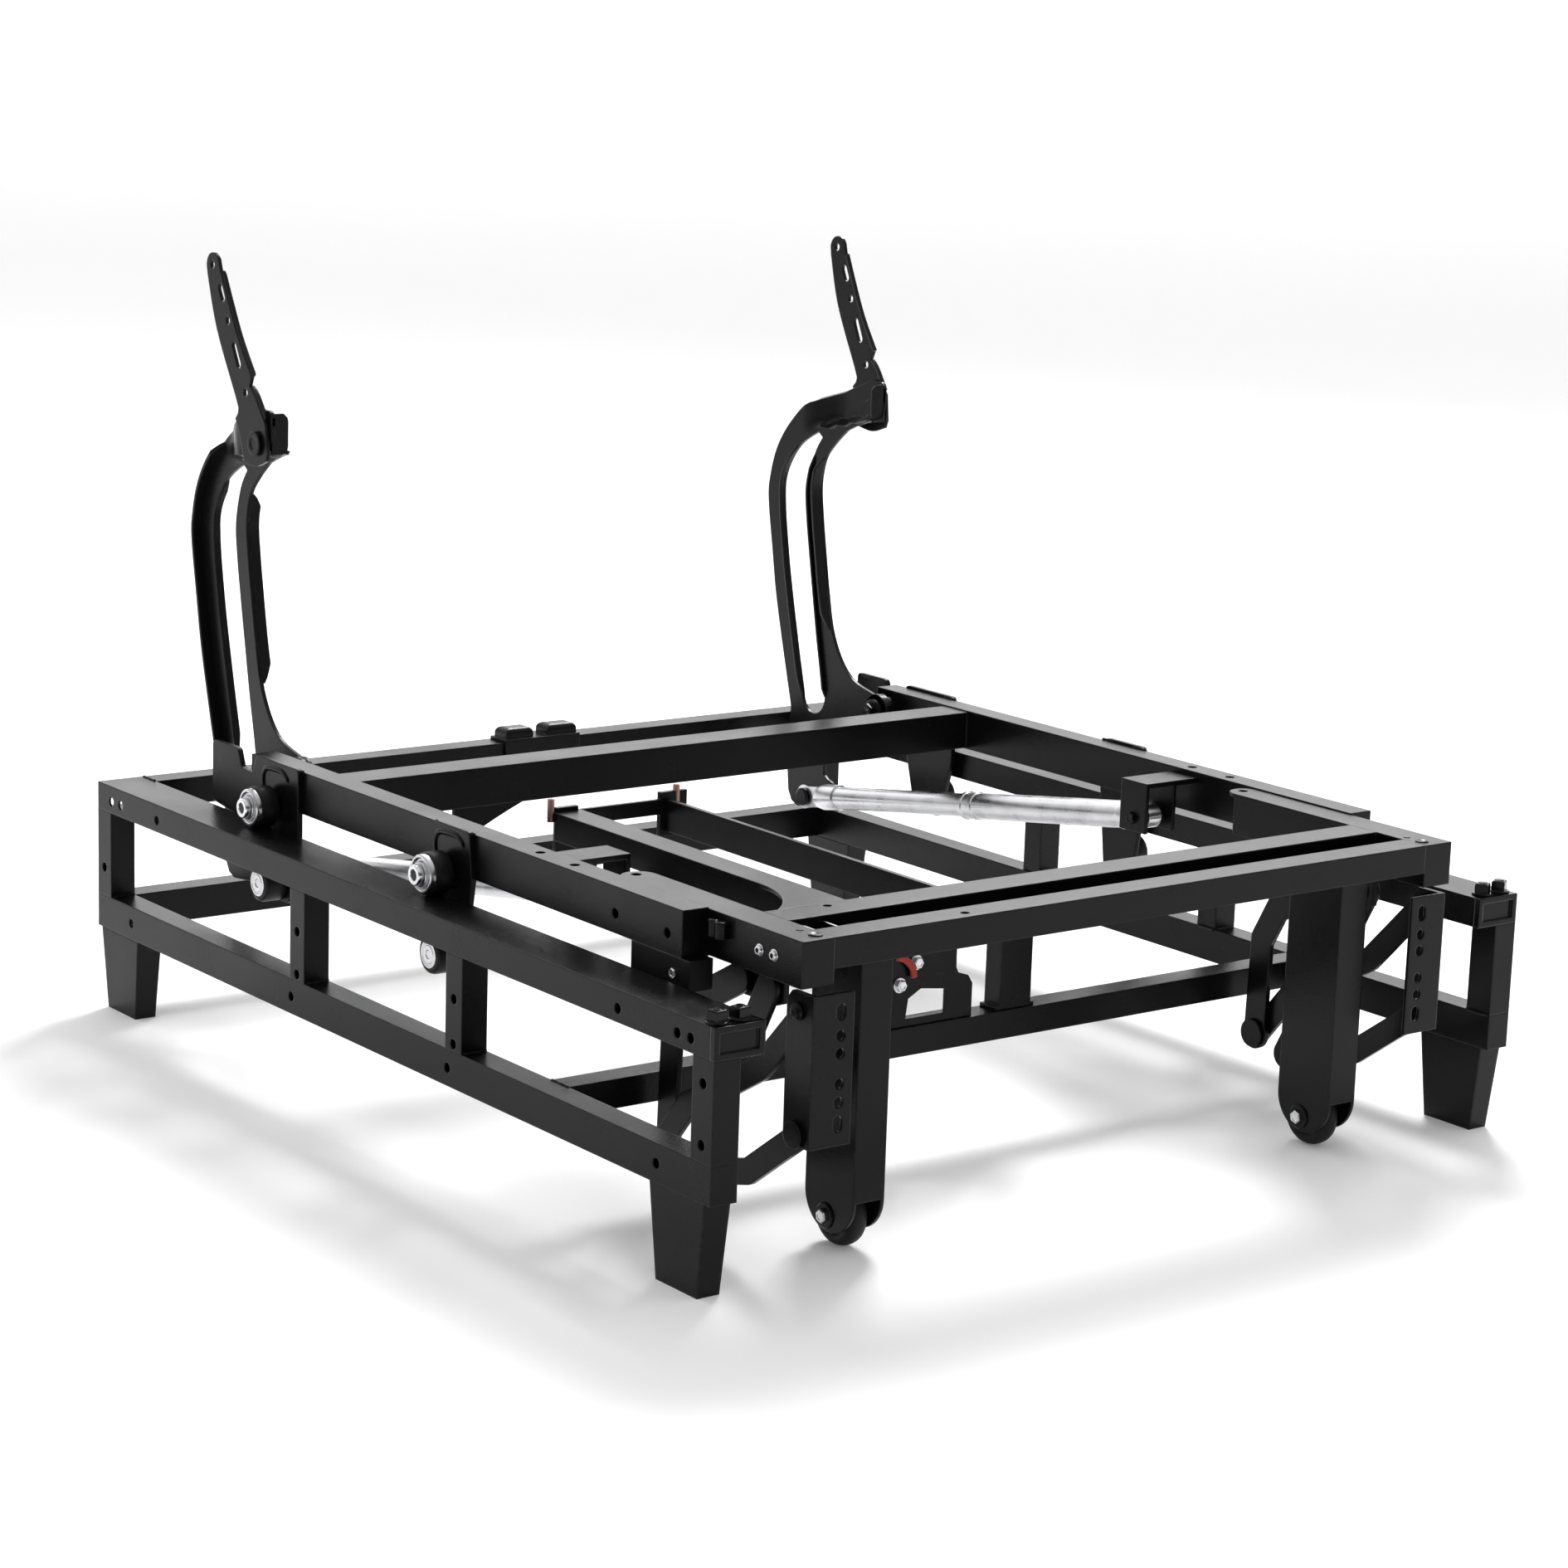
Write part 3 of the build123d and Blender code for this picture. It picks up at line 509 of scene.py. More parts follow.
# %% [markdown]
# Under each front leg runs a small wheel: a rubber tyre with a rounded tread, moulded on a
# nylon hub. Two outlines are turned, one with the tread's curve and one with the hub's rims,
# so that rubber and nylon can each have their own finish.

# %% the floor wheels
WHEEL_X, WHEEL_D, WHEEL_Z = 202.0, 50, 21.5
hub_coat = powder_coat("wheel_hub", 0.010, 0.36, 0.20, 0.0006)
tyre = [(1.2, 14.0), (0.4, 16.0)]
for step in range(13):
    angle = math.pi * step / 12
    tyre.append((7.5 - 7.2 * math.cos(angle), 17.0 + 4.5 * math.sin(angle)))
tyre += [(14.6, 16.0), (13.8, 14.0)]
hub = ((1.2, 14.0), (2.2, 13.4), (2.2, 8.0), (0.3, 7.4), (0.3, 4.3), (14.7, 4.3), (14.7, 7.4),
       (12.8, 8.0), (12.8, 13.4), (13.8, 14.0))
for side, sign in SIDES:
    centre = at(sign * WHEEL_X, WHEEL_D, WHEEL_Z)
    shape = bmesh.new()
    turned(shape, centre, ACROSS * sign, tyre, 56)
    tread = add_piece(f"{side}_wheel_tyre", shape, slot_materials["wheel_black"],
                      f"{side}_wheel")
    shape = bmesh.new()
    turned(shape, centre, ACROSS * sign, hub, 56)
    add_piece(f"{side}_wheel_hub", shape, hub_coat, f"{side}_wheel")
    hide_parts(f"{side}_wheel")
print("tyre outline points:", len(tyre))

# %% [markdown]
# The bright fasteners are zinc plated. The hollow axle ends of the rollers, the wheel bolts and
# the small bolts of the carriage go into one mesh, because they never move against each other.
# The two in the motor bracket are a mesh of their own, because that bracket stays behind when
# the seat rolls.

# %% bright bolts
AXLE_END_X = 330.4
MOTOR_BRACKET_BOLTS = ((-43.4, 133.3), (-57.4, 118.9))
bolt_plate = zinc_plate("bolt_zinc", 0.72, 0.18, 0.10)
black_bolt = powder_coat("bolt_black", 0.004, 0.12, 0.16, 0.0006)
axle_cup = ((0.0, 7.3), (3.4, 7.3), (4.2, 6.6), (4.2, 4.2), (3.4, 3.6), (0.4, 3.3))
collar = ((-0.4, 0), (-0.4, 8.6), (0.9, 8.6), (1.4, 7.8), (1.4, 0))
shape, collars = bmesh.new(), bmesh.new()
for _, sign in SIDES:
    axis = ACROSS * sign
    for _, d in UPPER_ROLLERS:
        turned(shape, at(sign * AXLE_END_X, d, UPPER_ROLLER_Z), axis, axle_cup, 32)
    for x, way in ((222.0, 1), (197.0, -1)):
        turned(collars, at(sign * x, WHEEL_D, WHEEL_Z), axis * way, collar, 32)
        hex_bolt(shape, at(sign * (x + 1.3 * way), WHEEL_D, WHEEL_Z), axis * way, 8.5, 3.4)
    for d in (47, 32):
        socket_bolt(shape, at(sign * 283.0, d, 204.5), axis, 3.2, 2.4)
    hex_bolt(shape, at(sign * 303.0, 110, 178), axis, 6.0, 2.0)
hex_bolt(shape, at(-105, 380, 202), -BACK, 6.5, 3.0, washer=4.8)
add_piece("carriage_bright_bolts", shape, bolt_plate, "carriage")

shape = bmesh.new()
for x, z in MOTOR_BRACKET_BOLTS:
    hex_bolt(shape, at(x, 187, z), -BACK, 7.5, 3.0, washer=5.5)
add_piece("motor_bracket_bolts", shape, bolt_plate, "base")
add_piece("wheel_axle_collars", collars, black_bolt, "carriage")
print("bolts in the motor bracket:", len(MOTOR_BRACKET_BOLTS))

# %% [markdown]
# The black fasteners are square heads on the end caps of the rails, and the nuts on the pivots
# of the back arms. Square heads are the same turned outline with four steps.

# %% black bolts
ARM_PIVOT = (632, 204)
CAP_BOLT_X = (324.5, 341.5)
cap_washer = ((-0.5, 0), (-0.5, 7.4), (1.2, 7.4), (1.6, 6.8), (1.6, 0))
square_head = ((1.6, 0), (1.6, 6.6), (7.4, 6.6), (8.4, 5.6), (8.4, 0))
bolt_end = ((8.2, 0), (8.4, 3.4), (9.0, 3.0), (9.0, 0))
shape = bmesh.new()
for _, sign in SIDES:
    for x in CAP_BOLT_X:
        head = at(sign * x, 10, 175)
        turned(shape, head, UP, cap_washer, 28)
        turned(shape, head, UP, square_head, 4, 0.35 + 0.2 * sign)
        turned(shape, head, UP, bolt_end, 16)
add_piece("cap_square_bolts", shape, black_bolt, "base")

shape = bmesh.new()
for _, sign in SIDES:
    hex_bolt(shape, at(sign * 264, *ARM_PIVOT), -ACROSS * sign, 12, 5, washer=9)
    hex_bolt(shape, at(sign * 232, 276, 188), -ACROSS * sign, 8, 3.4)
add_piece("carriage_pivot_nuts", shape, black_bolt, "carriage")
print("square heads:", 2 * len(CAP_BOLT_X))

# %% [markdown]
# The pivots of the footrest linkage are shouldered rivets. The shanks are in the CAD. Formed
# heads are small, so five on each side are made here, and each rides with the link that it is
# named after.

# %% rivet heads on the linkage
HANGER_Z = 174
RIVETS = (
    ("front_link", 255.5, (62, HANGER_Z), -1), ("rear_link", 255.5, (92, HANGER_Z), -1),
    ("front_link", 272.5, (101, 100), 1), ("front_link", 272.5, (134, 36), 1),
    ("long_link", 277.5, (15, 172), 1),
)
for side, sign in SIDES:
    for link, x, (d, z), way in RIVETS:
        shape = bmesh.new()
        rivet_head(shape, at(sign * x, d, z), ACROSS * sign * way, 5.8, 2.4)
        coat = bolt_plate if z == HANGER_Z else slot_materials["link_black"]
        add_piece(f"{side}_{link}_rivet_{d}", shape, coat, f"{side}_{link}")
print("rivets a side:", len(RIVETS))

# %% [markdown]
# The frame is welded. A weld bead is a row of small overlapping ripples that the arc leaves as
# it moves, often with drops of spatter beside it, which are left out here. A painted bump could
# show the ripples, but not the bead's rounded edge against the light. So the bead is a tube
# whose radius swells and shrinks along its length, with a little seeded noise so no two are
# alike.

# %% weld beads
BEAD_POINTS = 8
seed = random.Random(7)


def skin(shape, rings):
    """Faces between each ring of points and the next, and one face on both ends."""
    around = len(rings[0])
    for near, far in zip(rings, rings[1:]):
        for number in range(around):
            after = (number + 1) % around
            shape.faces.new((near[number], near[after], far[after], far[number]))
    shape.faces.new(rings[0])
    shape.faces.new(reversed(rings[-1]))


def weld_bead(shape, start, end, radius=1.5, ripple=2.2):
    start, end = at(*start), at(*end)
    along = end - start
    length = along.length * 1000
    along.normalize()
    first = along.orthogonal().normalized()
    second = along.cross(first)
    stations = max(4, int(length / ripple * 3))
    rings = []
    for station in range(stations + 1):
        share = station / stations
        wave = abs(math.sin(share * length / ripple * math.pi))
        swell = radius * (0.80 + 0.22 * wave + seed.uniform(-0.08, 0.08))
        if station in (0, stations):
            swell *= 0.4
        middle = start + along * (share * length / 1000)
        ring = []
        for number in range(BEAD_POINTS):
            angle = math.tau * number / BEAD_POINTS
            spoke = first * math.cos(angle) + second * math.sin(angle)
            ring.append(shape.verts.new(middle + spoke * swell / 1000))
        rings.append(ring)
    skin(shape, rings)


print("points around a bead:", BEAD_POINTS)

# %% [markdown]
# The base is welded at both ends of each post, under the front caps, where the middle rail meets
# the sides and behind the motor bracket. Each bead is typed as its two ends, because a seam is
# simply the line where two pieces meet.

# %% the welds of the base
BASE_OUT, BASE_IN, BASE_REAR = 350, 330, 802
POSTS = ((0, 22), (283, 303), (490, 510), (783, 804))
base_welds = bmesh.new()
for _, sign in SIDES:
    out, inner = sign * (BASE_OUT - 1.5), sign * BASE_IN
    for d_low, d_high in POSTS:
        d_end = min(d_high, BASE_REAR)
        for z in (88, 154):
            weld_bead(base_welds, (inner, d_low + 1, z), (inner, d_high - 1, z))
            weld_bead(base_welds, (inner, d_end, z), (out, d_end, z))
            if d_low:
                weld_bead(base_welds, (inner, d_low, z), (out, d_low, z))
    weld_bead(base_welds, (sign * 347.5, 2, 88), (sign * 331, 2, 88), 1.2)
    weld_bead(base_welds, (inner, 185, 87.5), (inner, 205, 87.5))
    weld_bead(base_welds, (inner, 185, 69), (inner, 185, 87))
    weld_bead(base_welds, (sign * 312, 784, 175), (sign * 312, 803, 175), 1.3)
    weld_bead(base_welds, (sign * 313, 1.8, 154.4), (sign * 347, 1.8, 154.4), 1.4)
for x in (-60, -20, 4, 36, 60):
    weld_bead(base_welds, (x - 6, 203.5, 89), (x + 6, 203.5, 89), 1.4)
base_beads = add_piece("base_welds", base_welds, slot_materials["frame_black"],
                       "base", 60)
print("weld faces of the base:", len(base_beads.data.polygons))

# %% [markdown]
# The carriage has its own welds, on the rear tube, the front plates, the hangers, the legs and
# the roller plates. They are a second mesh, because they roll forward with the seat.

# %% the welds of the carriage
carriage_welds = bmesh.new()
for _, sign in SIDES:
    rear_x, plate_x = sign * 282.5, sign * 257.5
    for z in (190.5, 218):
        weld_bead(carriage_welds, (rear_x, 533, z), (rear_x, 561, z), 1.3)
    for d in (532.5, 561.5):
        weld_bead(carriage_welds, (rear_x, d, 191), (rear_x, d, 218), 1.3)
    for d in (26, 52, 78):
        weld_bead(carriage_welds, (plate_x, d, 200), (plate_x, d, 218), 1.2)
    for d in (110, 140, 185):
        weld_bead(carriage_welds, (sign * 283, d - 9, 189.5), (sign * 283, d + 9, 189.5), 1.4)
    for x in (198, 221):
        weld_bead(carriage_welds, (sign * x, 24, 198.5), (sign * x, 70, 198.5), 1.3)
    for d in (350, 386, 580, 690):
        weld_bead(carriage_welds, (sign * 303.5, d - 7, 220.4), (sign * 303.5, d + 7, 220.4), 1.2)
carriage_beads = add_piece("carriage_welds", carriage_welds, slot_materials["carriage_black"],
                           "carriage", 60)
print("weld faces of the carriage:", len(carriage_beads.data.polygons))

# %% [markdown]
# The struts are a plated tube with a rod sliding in it. The tube's end is rolled inwards to
# hold a seal, which shows as a narrow ring, and both ends finish in a pressed fork or eye.

# %% strut details
STRUT_X = 247.0
STRUT_FRONT, STRUT_EYE = (276, 188), (693, 123)
run = Vector((0, STRUT_EYE[0] - STRUT_FRONT[0], STRUT_EYE[1] - STRUT_FRONT[1]))
rear = run.length
middle = rear / 2
seal_coat = powder_coat("strut_seal", 0.010, 0.40, 0.2, 0.0003)
front_ring = (
    (12.0, 4.0), (12.6, 8.2), (14.2, 10.2), (16, 11.0), (24, 11.2), (26, 10.7), (26, 10.4),
    (12.0, 10.0),
)
rolled_end = (
    (middle - 16, 10.4), (middle - 15, 11.2), (middle - 12, 11.3), (middle - 11, 10.6),
    (middle - 4, 10.6), (middle - 3, 11.4), (middle - 0.5, 11.4), (middle + 0.6, 10.4),
    (middle + 0.6, 9.5),
)
seal = ((middle + 0.2, 10.3), (middle + 0.9, 10.0), (middle + 1.0, 9.34), (middle + 0.2, 9.34))
rod_cap = (
    (rear - 46, 9.3), (rear - 45, 10.6), (rear - 27, 10.8), (rear - 21, 9.6), (rear - 18, 6.5),
    (rear - 17.4, 0),
)
for side, sign in SIDES:
    axis = run.normalized()
    front = at(sign * STRUT_X, *STRUT_FRONT)
    shape = bmesh.new()
    turned(shape, front, axis, front_ring)
    turned(shape, front, axis, rolled_end)
    add_piece(f"{side}_strut_tube_rings", shape, slot_materials["strut_zinc"],
              f"{side}_strut_tube")
    shape = bmesh.new()
    turned(shape, front, axis, seal)
    add_piece(f"{side}_strut_seal", shape, seal_coat, f"{side}_strut_tube")
    shape = bmesh.new()
    turned(shape, front, axis, rod_cap)
    add_piece(f"{side}_strut_rod_cap", shape, slot_materials["strut_zinc"],
              f"{side}_strut_rod")
print("strut length in mm:", round(rear, 1))

# %% [markdown]
# Each back arm is pressed from one sheet of 3 mm steel. Two legs with a long slot between them
# rise from the pivot, flanges along the edges make them stiff, and at the knee the press steps
# the sheet outwards to meet the tip. The sheet is filled as a fine mesh from its drawn outline,
# every point is moved across by the press depth at that place, and Solidify gives the thickness.

# %% curves and strips


def smooth_run(places, steps=6):
    """A curve through the places, by Catmull and Rom's rule."""
    run_points = []
    ends = [places[0], *places, places[-1]]
    for p0, p1, p2, p3 in zip(ends, ends[1:], ends[2:], ends[3:]):
        for number in range(steps):
            t = number / steps
            run_points.append(tuple(
                0.5 * (2 * b + (c - a) * t + (2 * a - 5 * b + 4 * c - e) * t * t
                       + (3 * b - a - 3 * c + e) * t ** 3)
                for a, b, c, e in zip(p0, p1, p2, p3)))
    run_points.append(tuple(places[-1]))
    return run_points


def arc_run(centre, radius, first, last, steps=14):
    angles = [math.radians(first + (last - first) * n / steps) for n in range(steps + 1)]
    return [(centre[0] + radius * math.cos(angle), centre[1] + radius * math.sin(angle))
            for angle in angles]


def edge_flange(shape, sign, edge, x_near, x_far, thick, lean_in=1, end=0.25):
    """A strip of sheet folded along an edge: a thin wall from x_near to x_far."""
    sections = []
    for number, (d, z) in enumerate(edge):
        before, after = edge[max(number - 1, 0)], edge[min(number + 1, len(edge) - 1)]
        way = Vector((after[0] - before[0], after[1] - before[1])).normalized()
        normal = Vector((-way.y, way.x)) * lean_in
        inner = (d + normal.x * thick, z + normal.y * thick)
        taper = min(1.0, end + min(number, len(edge) - 1 - number) * 0.25)
        far = x_near + (x_far - x_near) * taper
        sections.append([shape.verts.new(at(sign * x, *corner)) for x, corner in (
            (x_near, (d, z)), (far, (d, z)), (far, inner), (x_near, inner))])
    skin(shape, sections)


print("points of a quarter arc:", len(arc_run((0, 0), 10, 0, 90)))

# %% [markdown]
# A sheet with holes is hard to fill by hand. The triangulation that comes with Blender does it:
# it gets the closed outlines and any extra points inside, and only the faces within the first
# outline and outside the others are kept. The sheet is then thickened outwards, away from the
# middle of the mechanism.

# %% filled and thickened sheet
from mathutils.geometry import delaunay_2d_cdt


def inside(place, loop):
    hit = False
    for (xa, ya), (xb, yb) in zip(loop, loop[1:] + loop[:1]):
        if (ya > place[1]) != (yb > place[1]):
            if place[0] < (xb - xa) * (place[1] - ya) / (yb - ya) + xa:
                hit = not hit
    return hit


def filled(loops, extra=()):
    """Points and flat faces that fill the first loop around the others."""
    spots, edges = [], []
    for loop in loops:
        first = len(spots)
        spots += [Vector(spot) for spot in loop]
        edges += [(first + n, first + (n + 1) % len(loop)) for n in range(len(loop))]
    spots += [Vector(spot) for spot in extra]
    points, _, faces, _, _, _ = delaunay_2d_cdt(spots, edges, [], 0, 0.0001)
    good = []
    for corners in faces:
        centre = sum((points[n] for n in corners), Vector((0, 0))) / len(corners)
        if inside(centre, loops[0]) and not any(inside(centre, loop) for loop in loops[1:]):
            good.append(corners)
    return points, good


def thick_sheet(sign, places, faces, thick):
    """The faces as sheet metal, thickened outwards by so many millimetres."""
    shape = bmesh.new()
    corners = [shape.verts.new(place) for place in places]
    for face in faces:
        shape.faces.new([corners[n] for n in face])
    loose = [corner for corner in shape.verts if not corner.link_faces]
    bmesh.ops.delete(shape, geom=loose, context="VERTS")
    bmesh.ops.recalc_face_normals(shape, faces=shape.faces)
    outward = next(iter(shape.faces)).normal.x * sign > 0
    bmesh.ops.solidify(shape, geom=shape.faces[:],
                       thickness=(-thick if outward else thick) / 1000)
    return shape


print("faces in a square with a round hole:", len(filled(
    [[(0, 0), (9, 0), (9, 9), (0, 9)], arc_run((4.5, 4.5), 3, 0, 345, 23)])[1]))

# %% [markdown]
# The drawing of the arm is a list of places, distance and height, read off the photograph. Only
# the ends of straight runs and some places on each curve are needed, and the curve function
# fills in the rest. The slot between the legs and the bore of the pivot are loops of their own.

# %% the sheet of a back arm
ARM_X, KNEE_X, SHEET, ARM_BORE = 268.0, 282.0, 3.0, 6.1
arm_rear = ((742, 444), (751, 437), (767, 421), (779, 403), (786, 382), (788, 361), (780, 316),
            (773, 280), (761, 236), (747, 188))
arm_front = ((640, 218), (663, 224), (681, 238), (695, 262), (703, 294), (709, 325),
             (714, 353), (717, 380), (712, 402), (700, 416), (684, 429))
slot_rear = ((722, 424), (748, 409), (765, 385), (767, 360), (760, 316), (752, 280),
             (741, 236), (732, 203))
slot_front = ((701, 203), (705, 223), (712, 254), (720, 294), (726, 325), (731, 353),
              (733, 378), (726, 405), (716, 420))
outline = smooth_run(arm_rear)
outline += [(750, 140), (747, 116), (742, 108), (734, 105), (712, 107)]
outline += arc_run(STRUT_EYE, 11.5, 270, 90)
outline += [(699, 138), (699, 152), (695, 172), (690, 182), (680, 186), (660, 188), (644, 189)]
outline += arc_run(ARM_PIVOT, 14, 290, 70)
outline += smooth_run(arm_front)
outline += [(672, 434), (660, 438)] + arc_run((658, 443), 3, 225, 180, 3)
outline += arc_run((660, 466), 5, 180, 90, 5)
outline += [(672, 471), (688, 465), (707, 457), (727, 450), (736, 447)]
slot = smooth_run(slot_rear) + arc_run((716.5, 203), 15.5, 0, -180, 10)[1:-1]
slot += smooth_run(slot_front)
bore = arc_run(ARM_PIVOT, ARM_BORE, 0, 345, 23)
grid = []
for row, z in enumerate(range(108, 474, 4)):
    for d in range(620, 792, 5):
        spot = (d + (3 if row % 2 else 0), z)
        if inside(spot, outline) and not inside(spot, slot) and math.dist(spot, ARM_PIVOT) > 8:
            grid.append(spot)
sheet_points, kept = filled([outline, slot, bore], grid)
print("sheet points:", len(sheet_points), "faces:", len(kept))

# %% [markdown]
# The press is a function: it says for each place how far the sheet stands outwards. Its two
# ramps are eased at both ends, so the step at the knee is round and not creased. Flanges and
# pins are added to the pressed sheet as meshes of their own and ride on the same body.

# %% the two back arms


def press_depth(d, z):
    """How far the press has pushed the sheet outwards at a place."""
    ledge = 439 + (662 - d) * 0.2
    above = min(1, max(0, (z - ledge) / 5))
    rise = min(1, max(0, (742 - d) / 38))
    above, rise = above * above * (3 - 2 * above), rise * rise * (3 - 2 * rise)
    return (KNEE_X - ARM_X) * above * rise


TIP_PIVOT, LEDGE_D = (671, 446), 655
pivot_ring = ((0, ARM_BORE), (0, 13.6), (7, 13.6), (7, ARM_BORE), (0, ARM_BORE))
strut_pin = (
    (0, 0), (0, 6.4), (0.8, 7.4), (2.4, 7.4), (3.2, 6.6), (3.2, 5), (29, 5), (29, 8.5),
    (33, 8.5), (33.6, 7.6), (33.6, 0),
)
tip_pin = (
    (0, 0), (0, 9.6), (4.6, 9.6), (4.6, 5), (8.8, 5), (8.8, 8.8), (9.6, 9.4), (10.4, 8.8),
    (10.4, 5.0), (9.7, 4.4), (9.7, 0),
)
arm_coat, link_coat = slot_materials["arm_black"], slot_materials["link_black"]
for side, sign in SIDES:
    pressed = [at(sign * (ARM_X + press_depth(*spot)), *spot) for spot in sheet_points]
    shape = thick_sheet(sign, pressed, kept, SHEET)
    sheet = add_piece(f"{side}_back_arm_sheet", shape, arm_coat,
                      f"{side}_back_arm", 40)
    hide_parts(f"{side}_back_arm")

    shape = bmesh.new()
    root, ledge = ARM_X + 1, [(LEDGE_D, z) for z in range(439, 471, 3)]
    edge_flange(shape, sign, smooth_run(arm_rear[1:]), root, ARM_X + SHEET + 8, 2.6, -1)
    edge_flange(shape, sign, smooth_run(arm_front[3:9]), root, ARM_X - 8, 2.6, -1)
    edge_flange(shape, sign, smooth_run(slot_rear[1:]), root, ARM_X - 3, 2.2, 1)
    edge_flange(shape, sign, smooth_run(slot_front[:-1]), root, ARM_X - 3, 2.2, 1)
    edge_flange(shape, sign, ledge, KNEE_X + 2, KNEE_X - 11, 2.6, -1, 0.7)
    add_piece(f"{side}_back_arm_flanges", shape, arm_coat, f"{side}_back_arm", 40)

    shape = bmesh.new()
    axis = ACROSS * sign
    turned(shape, at(sign * ARM_X, *ARM_PIVOT), axis, pivot_ring, 40)
    turned(shape, at(sign * 240, *STRUT_EYE), axis, strut_pin, 32)
    turned(shape, at(sign * 281, *TIP_PIVOT), axis, tip_pin, 36)
    add_piece(f"{side}_back_arm_pins", shape, link_coat, f"{side}_back_arm")
    print(side, "arm faces:", len(sheet.data.polygons))

# %% [markdown]
# The tip of each arm is a flat blade that is pierced by slots and holes, so the white wall shows
# through. Only a narrow lip is folded along its front edge, which catches a thin line of light.
# The two tips lean a little differently in the photograph, so each is turned on its pivot.

# %% the arm tips
TIP_X, TIP_SHEET, TIP_LEAN = 286.0, 2.6, (-2, 2)
HOLE_RADIUS, SLOT_ANGLE = 3.0, math.radians(63)
tip_rear = ((701, 478), (728, 526), (741, 566))
tip_edge = [(690, 432), (698, 456), (702, 462), (698, 466), (697, 470), *smooth_run(tip_rear)]
tip_edge += arc_run((732.5, 572.5), 9.5, -20, 155, 16)
tip_edge += smooth_run(((722, 570), (698, 524), (677, 494)))
tip_edge += [(680, 487), (672, 480), (658, 461), (655, 440)]
tip_edge += smooth_run(((657, 434), (672, 429), (688, 430)))
hole_loops = []
for centre in ((686, 482), (711, 533), (733, 573)):
    hole_loops.append(arc_run(centre, HOLE_RADIUS, 0, 337.5, 15))
for (d, z), length in (((699, 508.5), 21), ((720, 553), 14)):
    reach = length / 2 - HOLE_RADIUS
    dx, dz = reach * math.cos(SLOT_ANGLE), reach * math.sin(SLOT_ANGLE)
    hole_loops.append(arc_run((d + dx, z + dz), HOLE_RADIUS, -27, 153, 9)
                      + arc_run((d - dx, z - dz), HOLE_RADIUS, 153, 333, 9))
hole_loops.append(arc_run(TIP_PIVOT, 5.2, 0, 345, 23))
upper_lip = smooth_run(((677, 494), (698, 524), (721, 568)), 10)
lower_lip = smooth_run(((660, 464), (672, 480), (679, 486)), 6)


def leaned(spot, degrees):
    """A place of the tip, turned about the tip's pivot."""
    pivot = Vector(TIP_PIVOT)
    return Matrix.Rotation(math.radians(degrees), 2) @ (Vector(spot) - pivot) + pivot


tip_points, tip_faces = filled([tip_edge, *hole_loops])
for (side, sign), lean in zip(SIDES, TIP_LEAN):
    flat = [at(sign * TIP_X, *leaned(spot, lean)) for spot in tip_points]
    shape = thick_sheet(sign, flat, tip_faces, TIP_SHEET)
    for lip, thick in ((upper_lip, 2.4), (lower_lip, 2.2)):
        lip = [leaned(spot, lean) for spot in lip]
        edge_flange(shape, sign, lip, TIP_X + 2, TIP_X - 0.8, thick, 1, 0.8)
    blade = add_piece(f"{side}_arm_tip_blade", shape, arm_coat,
                      f"{side}_arm_tip", 40)
    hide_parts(f"{side}_arm_tip")
    print(side, "tip faces:", len(blade.data.polygons))

# %% [markdown]
# Around each upper roller the hanging plate is pressed into a shallow pocket. Its raised lip is
# glossy where the paint runs thick, so a smooth bead follows the pocket's rounded outline. Its
# section is an oval that is narrow along the rail.

# %% the pocket lips
LIP_X, LIP_HIGH, LIP_WIDE, LIP_FLAT = 307, 1.5, 2.2, 0.4
pocket = ((15, 200), (16, 209), (12, 215), (0, 216.5), (-12, 216), (-19, 212))
tenths = [math.tau * n / 10 for n in range(10)]
shape = bmesh.new()
for _, sign in SIDES:
    for _, roller_d in UPPER_ROLLERS:
        rings = []
        for d, z in smooth_run([(roller_d + d, z) for d, z in pocket], 6):
            rings.append([shape.verts.new(at(
                sign * (LIP_X + LIP_HIGH * math.cos(a)), d + LIP_WIDE * math.sin(a) * LIP_FLAT,
                z + LIP_WIDE * math.sin(a))) for a in tenths])
        skin(shape, rings)
lips = add_piece("roller_pocket_lips", shape, slot_materials["cap_black"],
                 "carriage")
print("lip faces:", len(lips.data.polygons))

# %% [markdown]
# The remaining small things are read off the photograph one by one: two coppery bolts that
# stand on the inner bars, black plugs and studs on the carriage arms and the bright strips
# between the front tubes. All of them are short turned outlines again.

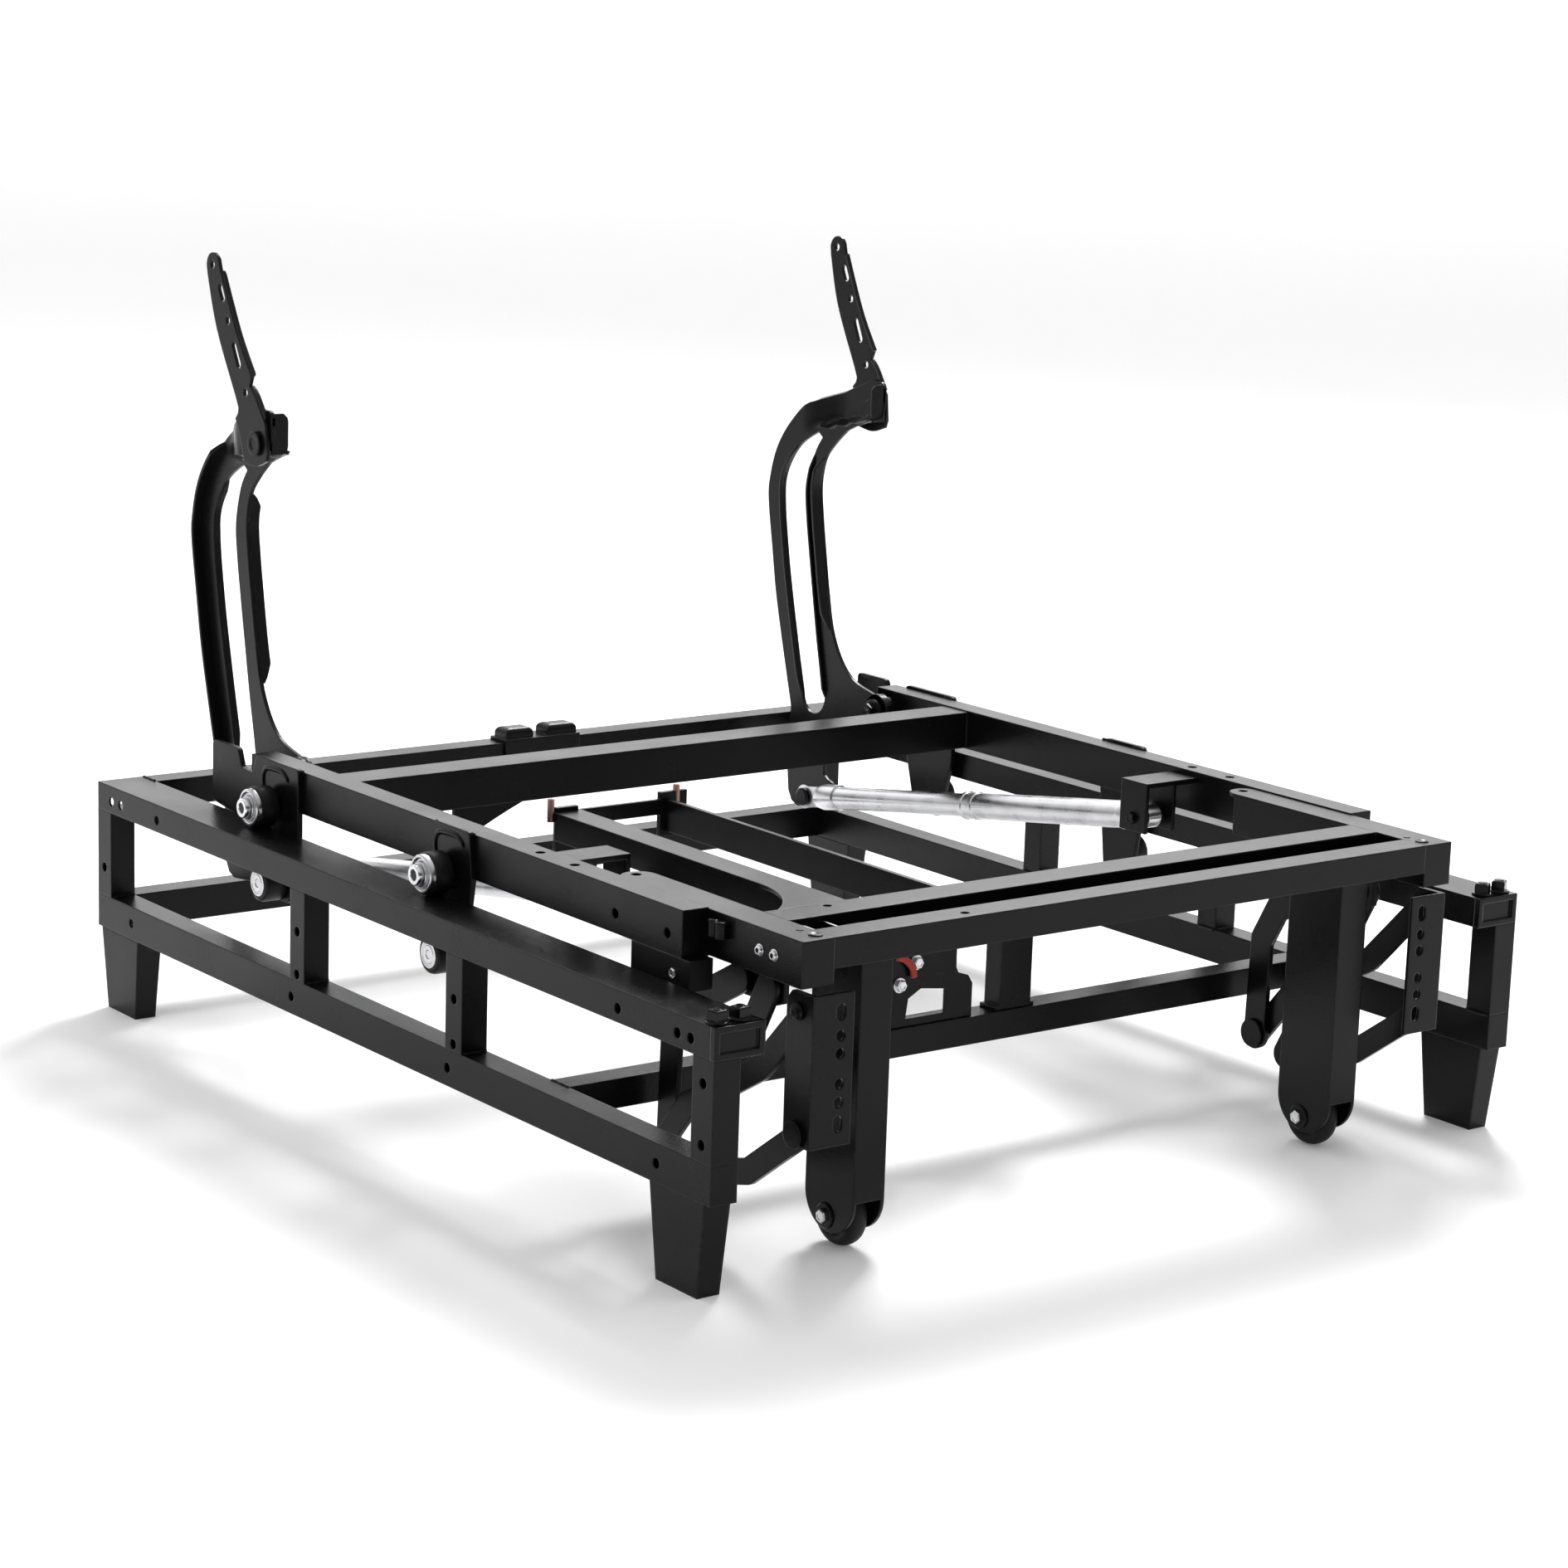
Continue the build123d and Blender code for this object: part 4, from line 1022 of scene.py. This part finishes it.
# %% small things
copper = zinc_plate("copper_flash", 0.60, 0.30, 0.10, tint=(1.0, 0.62, 0.55))
copper_bolt = ((0, 0), (0, 2.6), (15.6, 2.6), (16.6, 2.0), (16.6, 0))
shape = bmesh.new()
for x, d in ((-216, 383), (-110, 382)):
    turned(shape, at(x, d, 212), UP, copper_bolt, 18)
add_piece("bar_copper_bolts", shape, copper, "carriage")

ARM_TOP = 219
large_plug = ((-1, 0), (-1, 4.8), (0.5, 4.8), (0.9, 4.0), (0.3, 2.6), (0.3, 0))
small_plug = ((-1, 0), (-1, 2.4), (0.3, 2.4), (0.3, 0))
stud = ((0, 0), (0, 4.6), (10, 4.6), (11, 3.6), (11, 0))
shape = bmesh.new()
for _, sign in SIDES:
    turned(shape, at(sign * 265, 15, ARM_TOP), UP, large_plug, 28)
    turned(shape, at(sign * 265.6, 30, ARM_TOP), UP, small_plug, 18)
    for x, d in ((285.5, 92), (286, 84)):
        turned(shape, at(sign * x, d, 204), UP, stud, 20)
add_piece("arm_tube_plugs", shape, slot_materials["cap_black"], "carriage")

shape = bmesh.new()
for x in (-249, -231):
    turned(shape, at(x, 26.5, 215), BACK, ((0, 0), (0, 0.7), (25, 0.7), (25, 0)), 10)
strips = add_piece("slot_bright_strips", shape, bolt_plate, "carriage")
print("length of the strips in mm:", round(strips.dimensions.y * 1000, 1))

# %% [markdown]
# The strap is a short run of something red beside the bolts of the motor bracket, most likely
# plastic. It follows a curve through four places, with an oval section that is carried along and
# turned with it.

# %% the red strap
STRAP_D, STRAP_THICK, STRAP_DEEP = 184, 2.6, 1.8
red = powder_coat("red_strap", 0.05, 0.35, 0.15, 0.0006, tint=(8.0, 0.9, 0.7))
twelfths = [math.tau * n / 12 for n in range(12)]
strap = smooth_run(((-62, 140), (-55, 137), (-49, 131), (-47, 124)), 8)
shape = bmesh.new()
rings = []
for number, (x, z) in enumerate(strap):
    before, after = strap[max(number - 1, 0)], strap[min(number + 1, len(strap) - 1)]
    way = Vector((after[0] - before[0], 0, after[1] - before[1])).normalized()
    first = way.cross(BACK)
    rings.append([shape.verts.new(at(x, STRAP_D, z) + (
        first * math.cos(a) * STRAP_THICK + BACK * math.sin(a) * STRAP_DEEP) / 1000)
        for a in twelfths])
skin(shape, rings)
add_piece("motor_bracket_strap", shape, red, "base")
print("places along the strap:", len(strap))
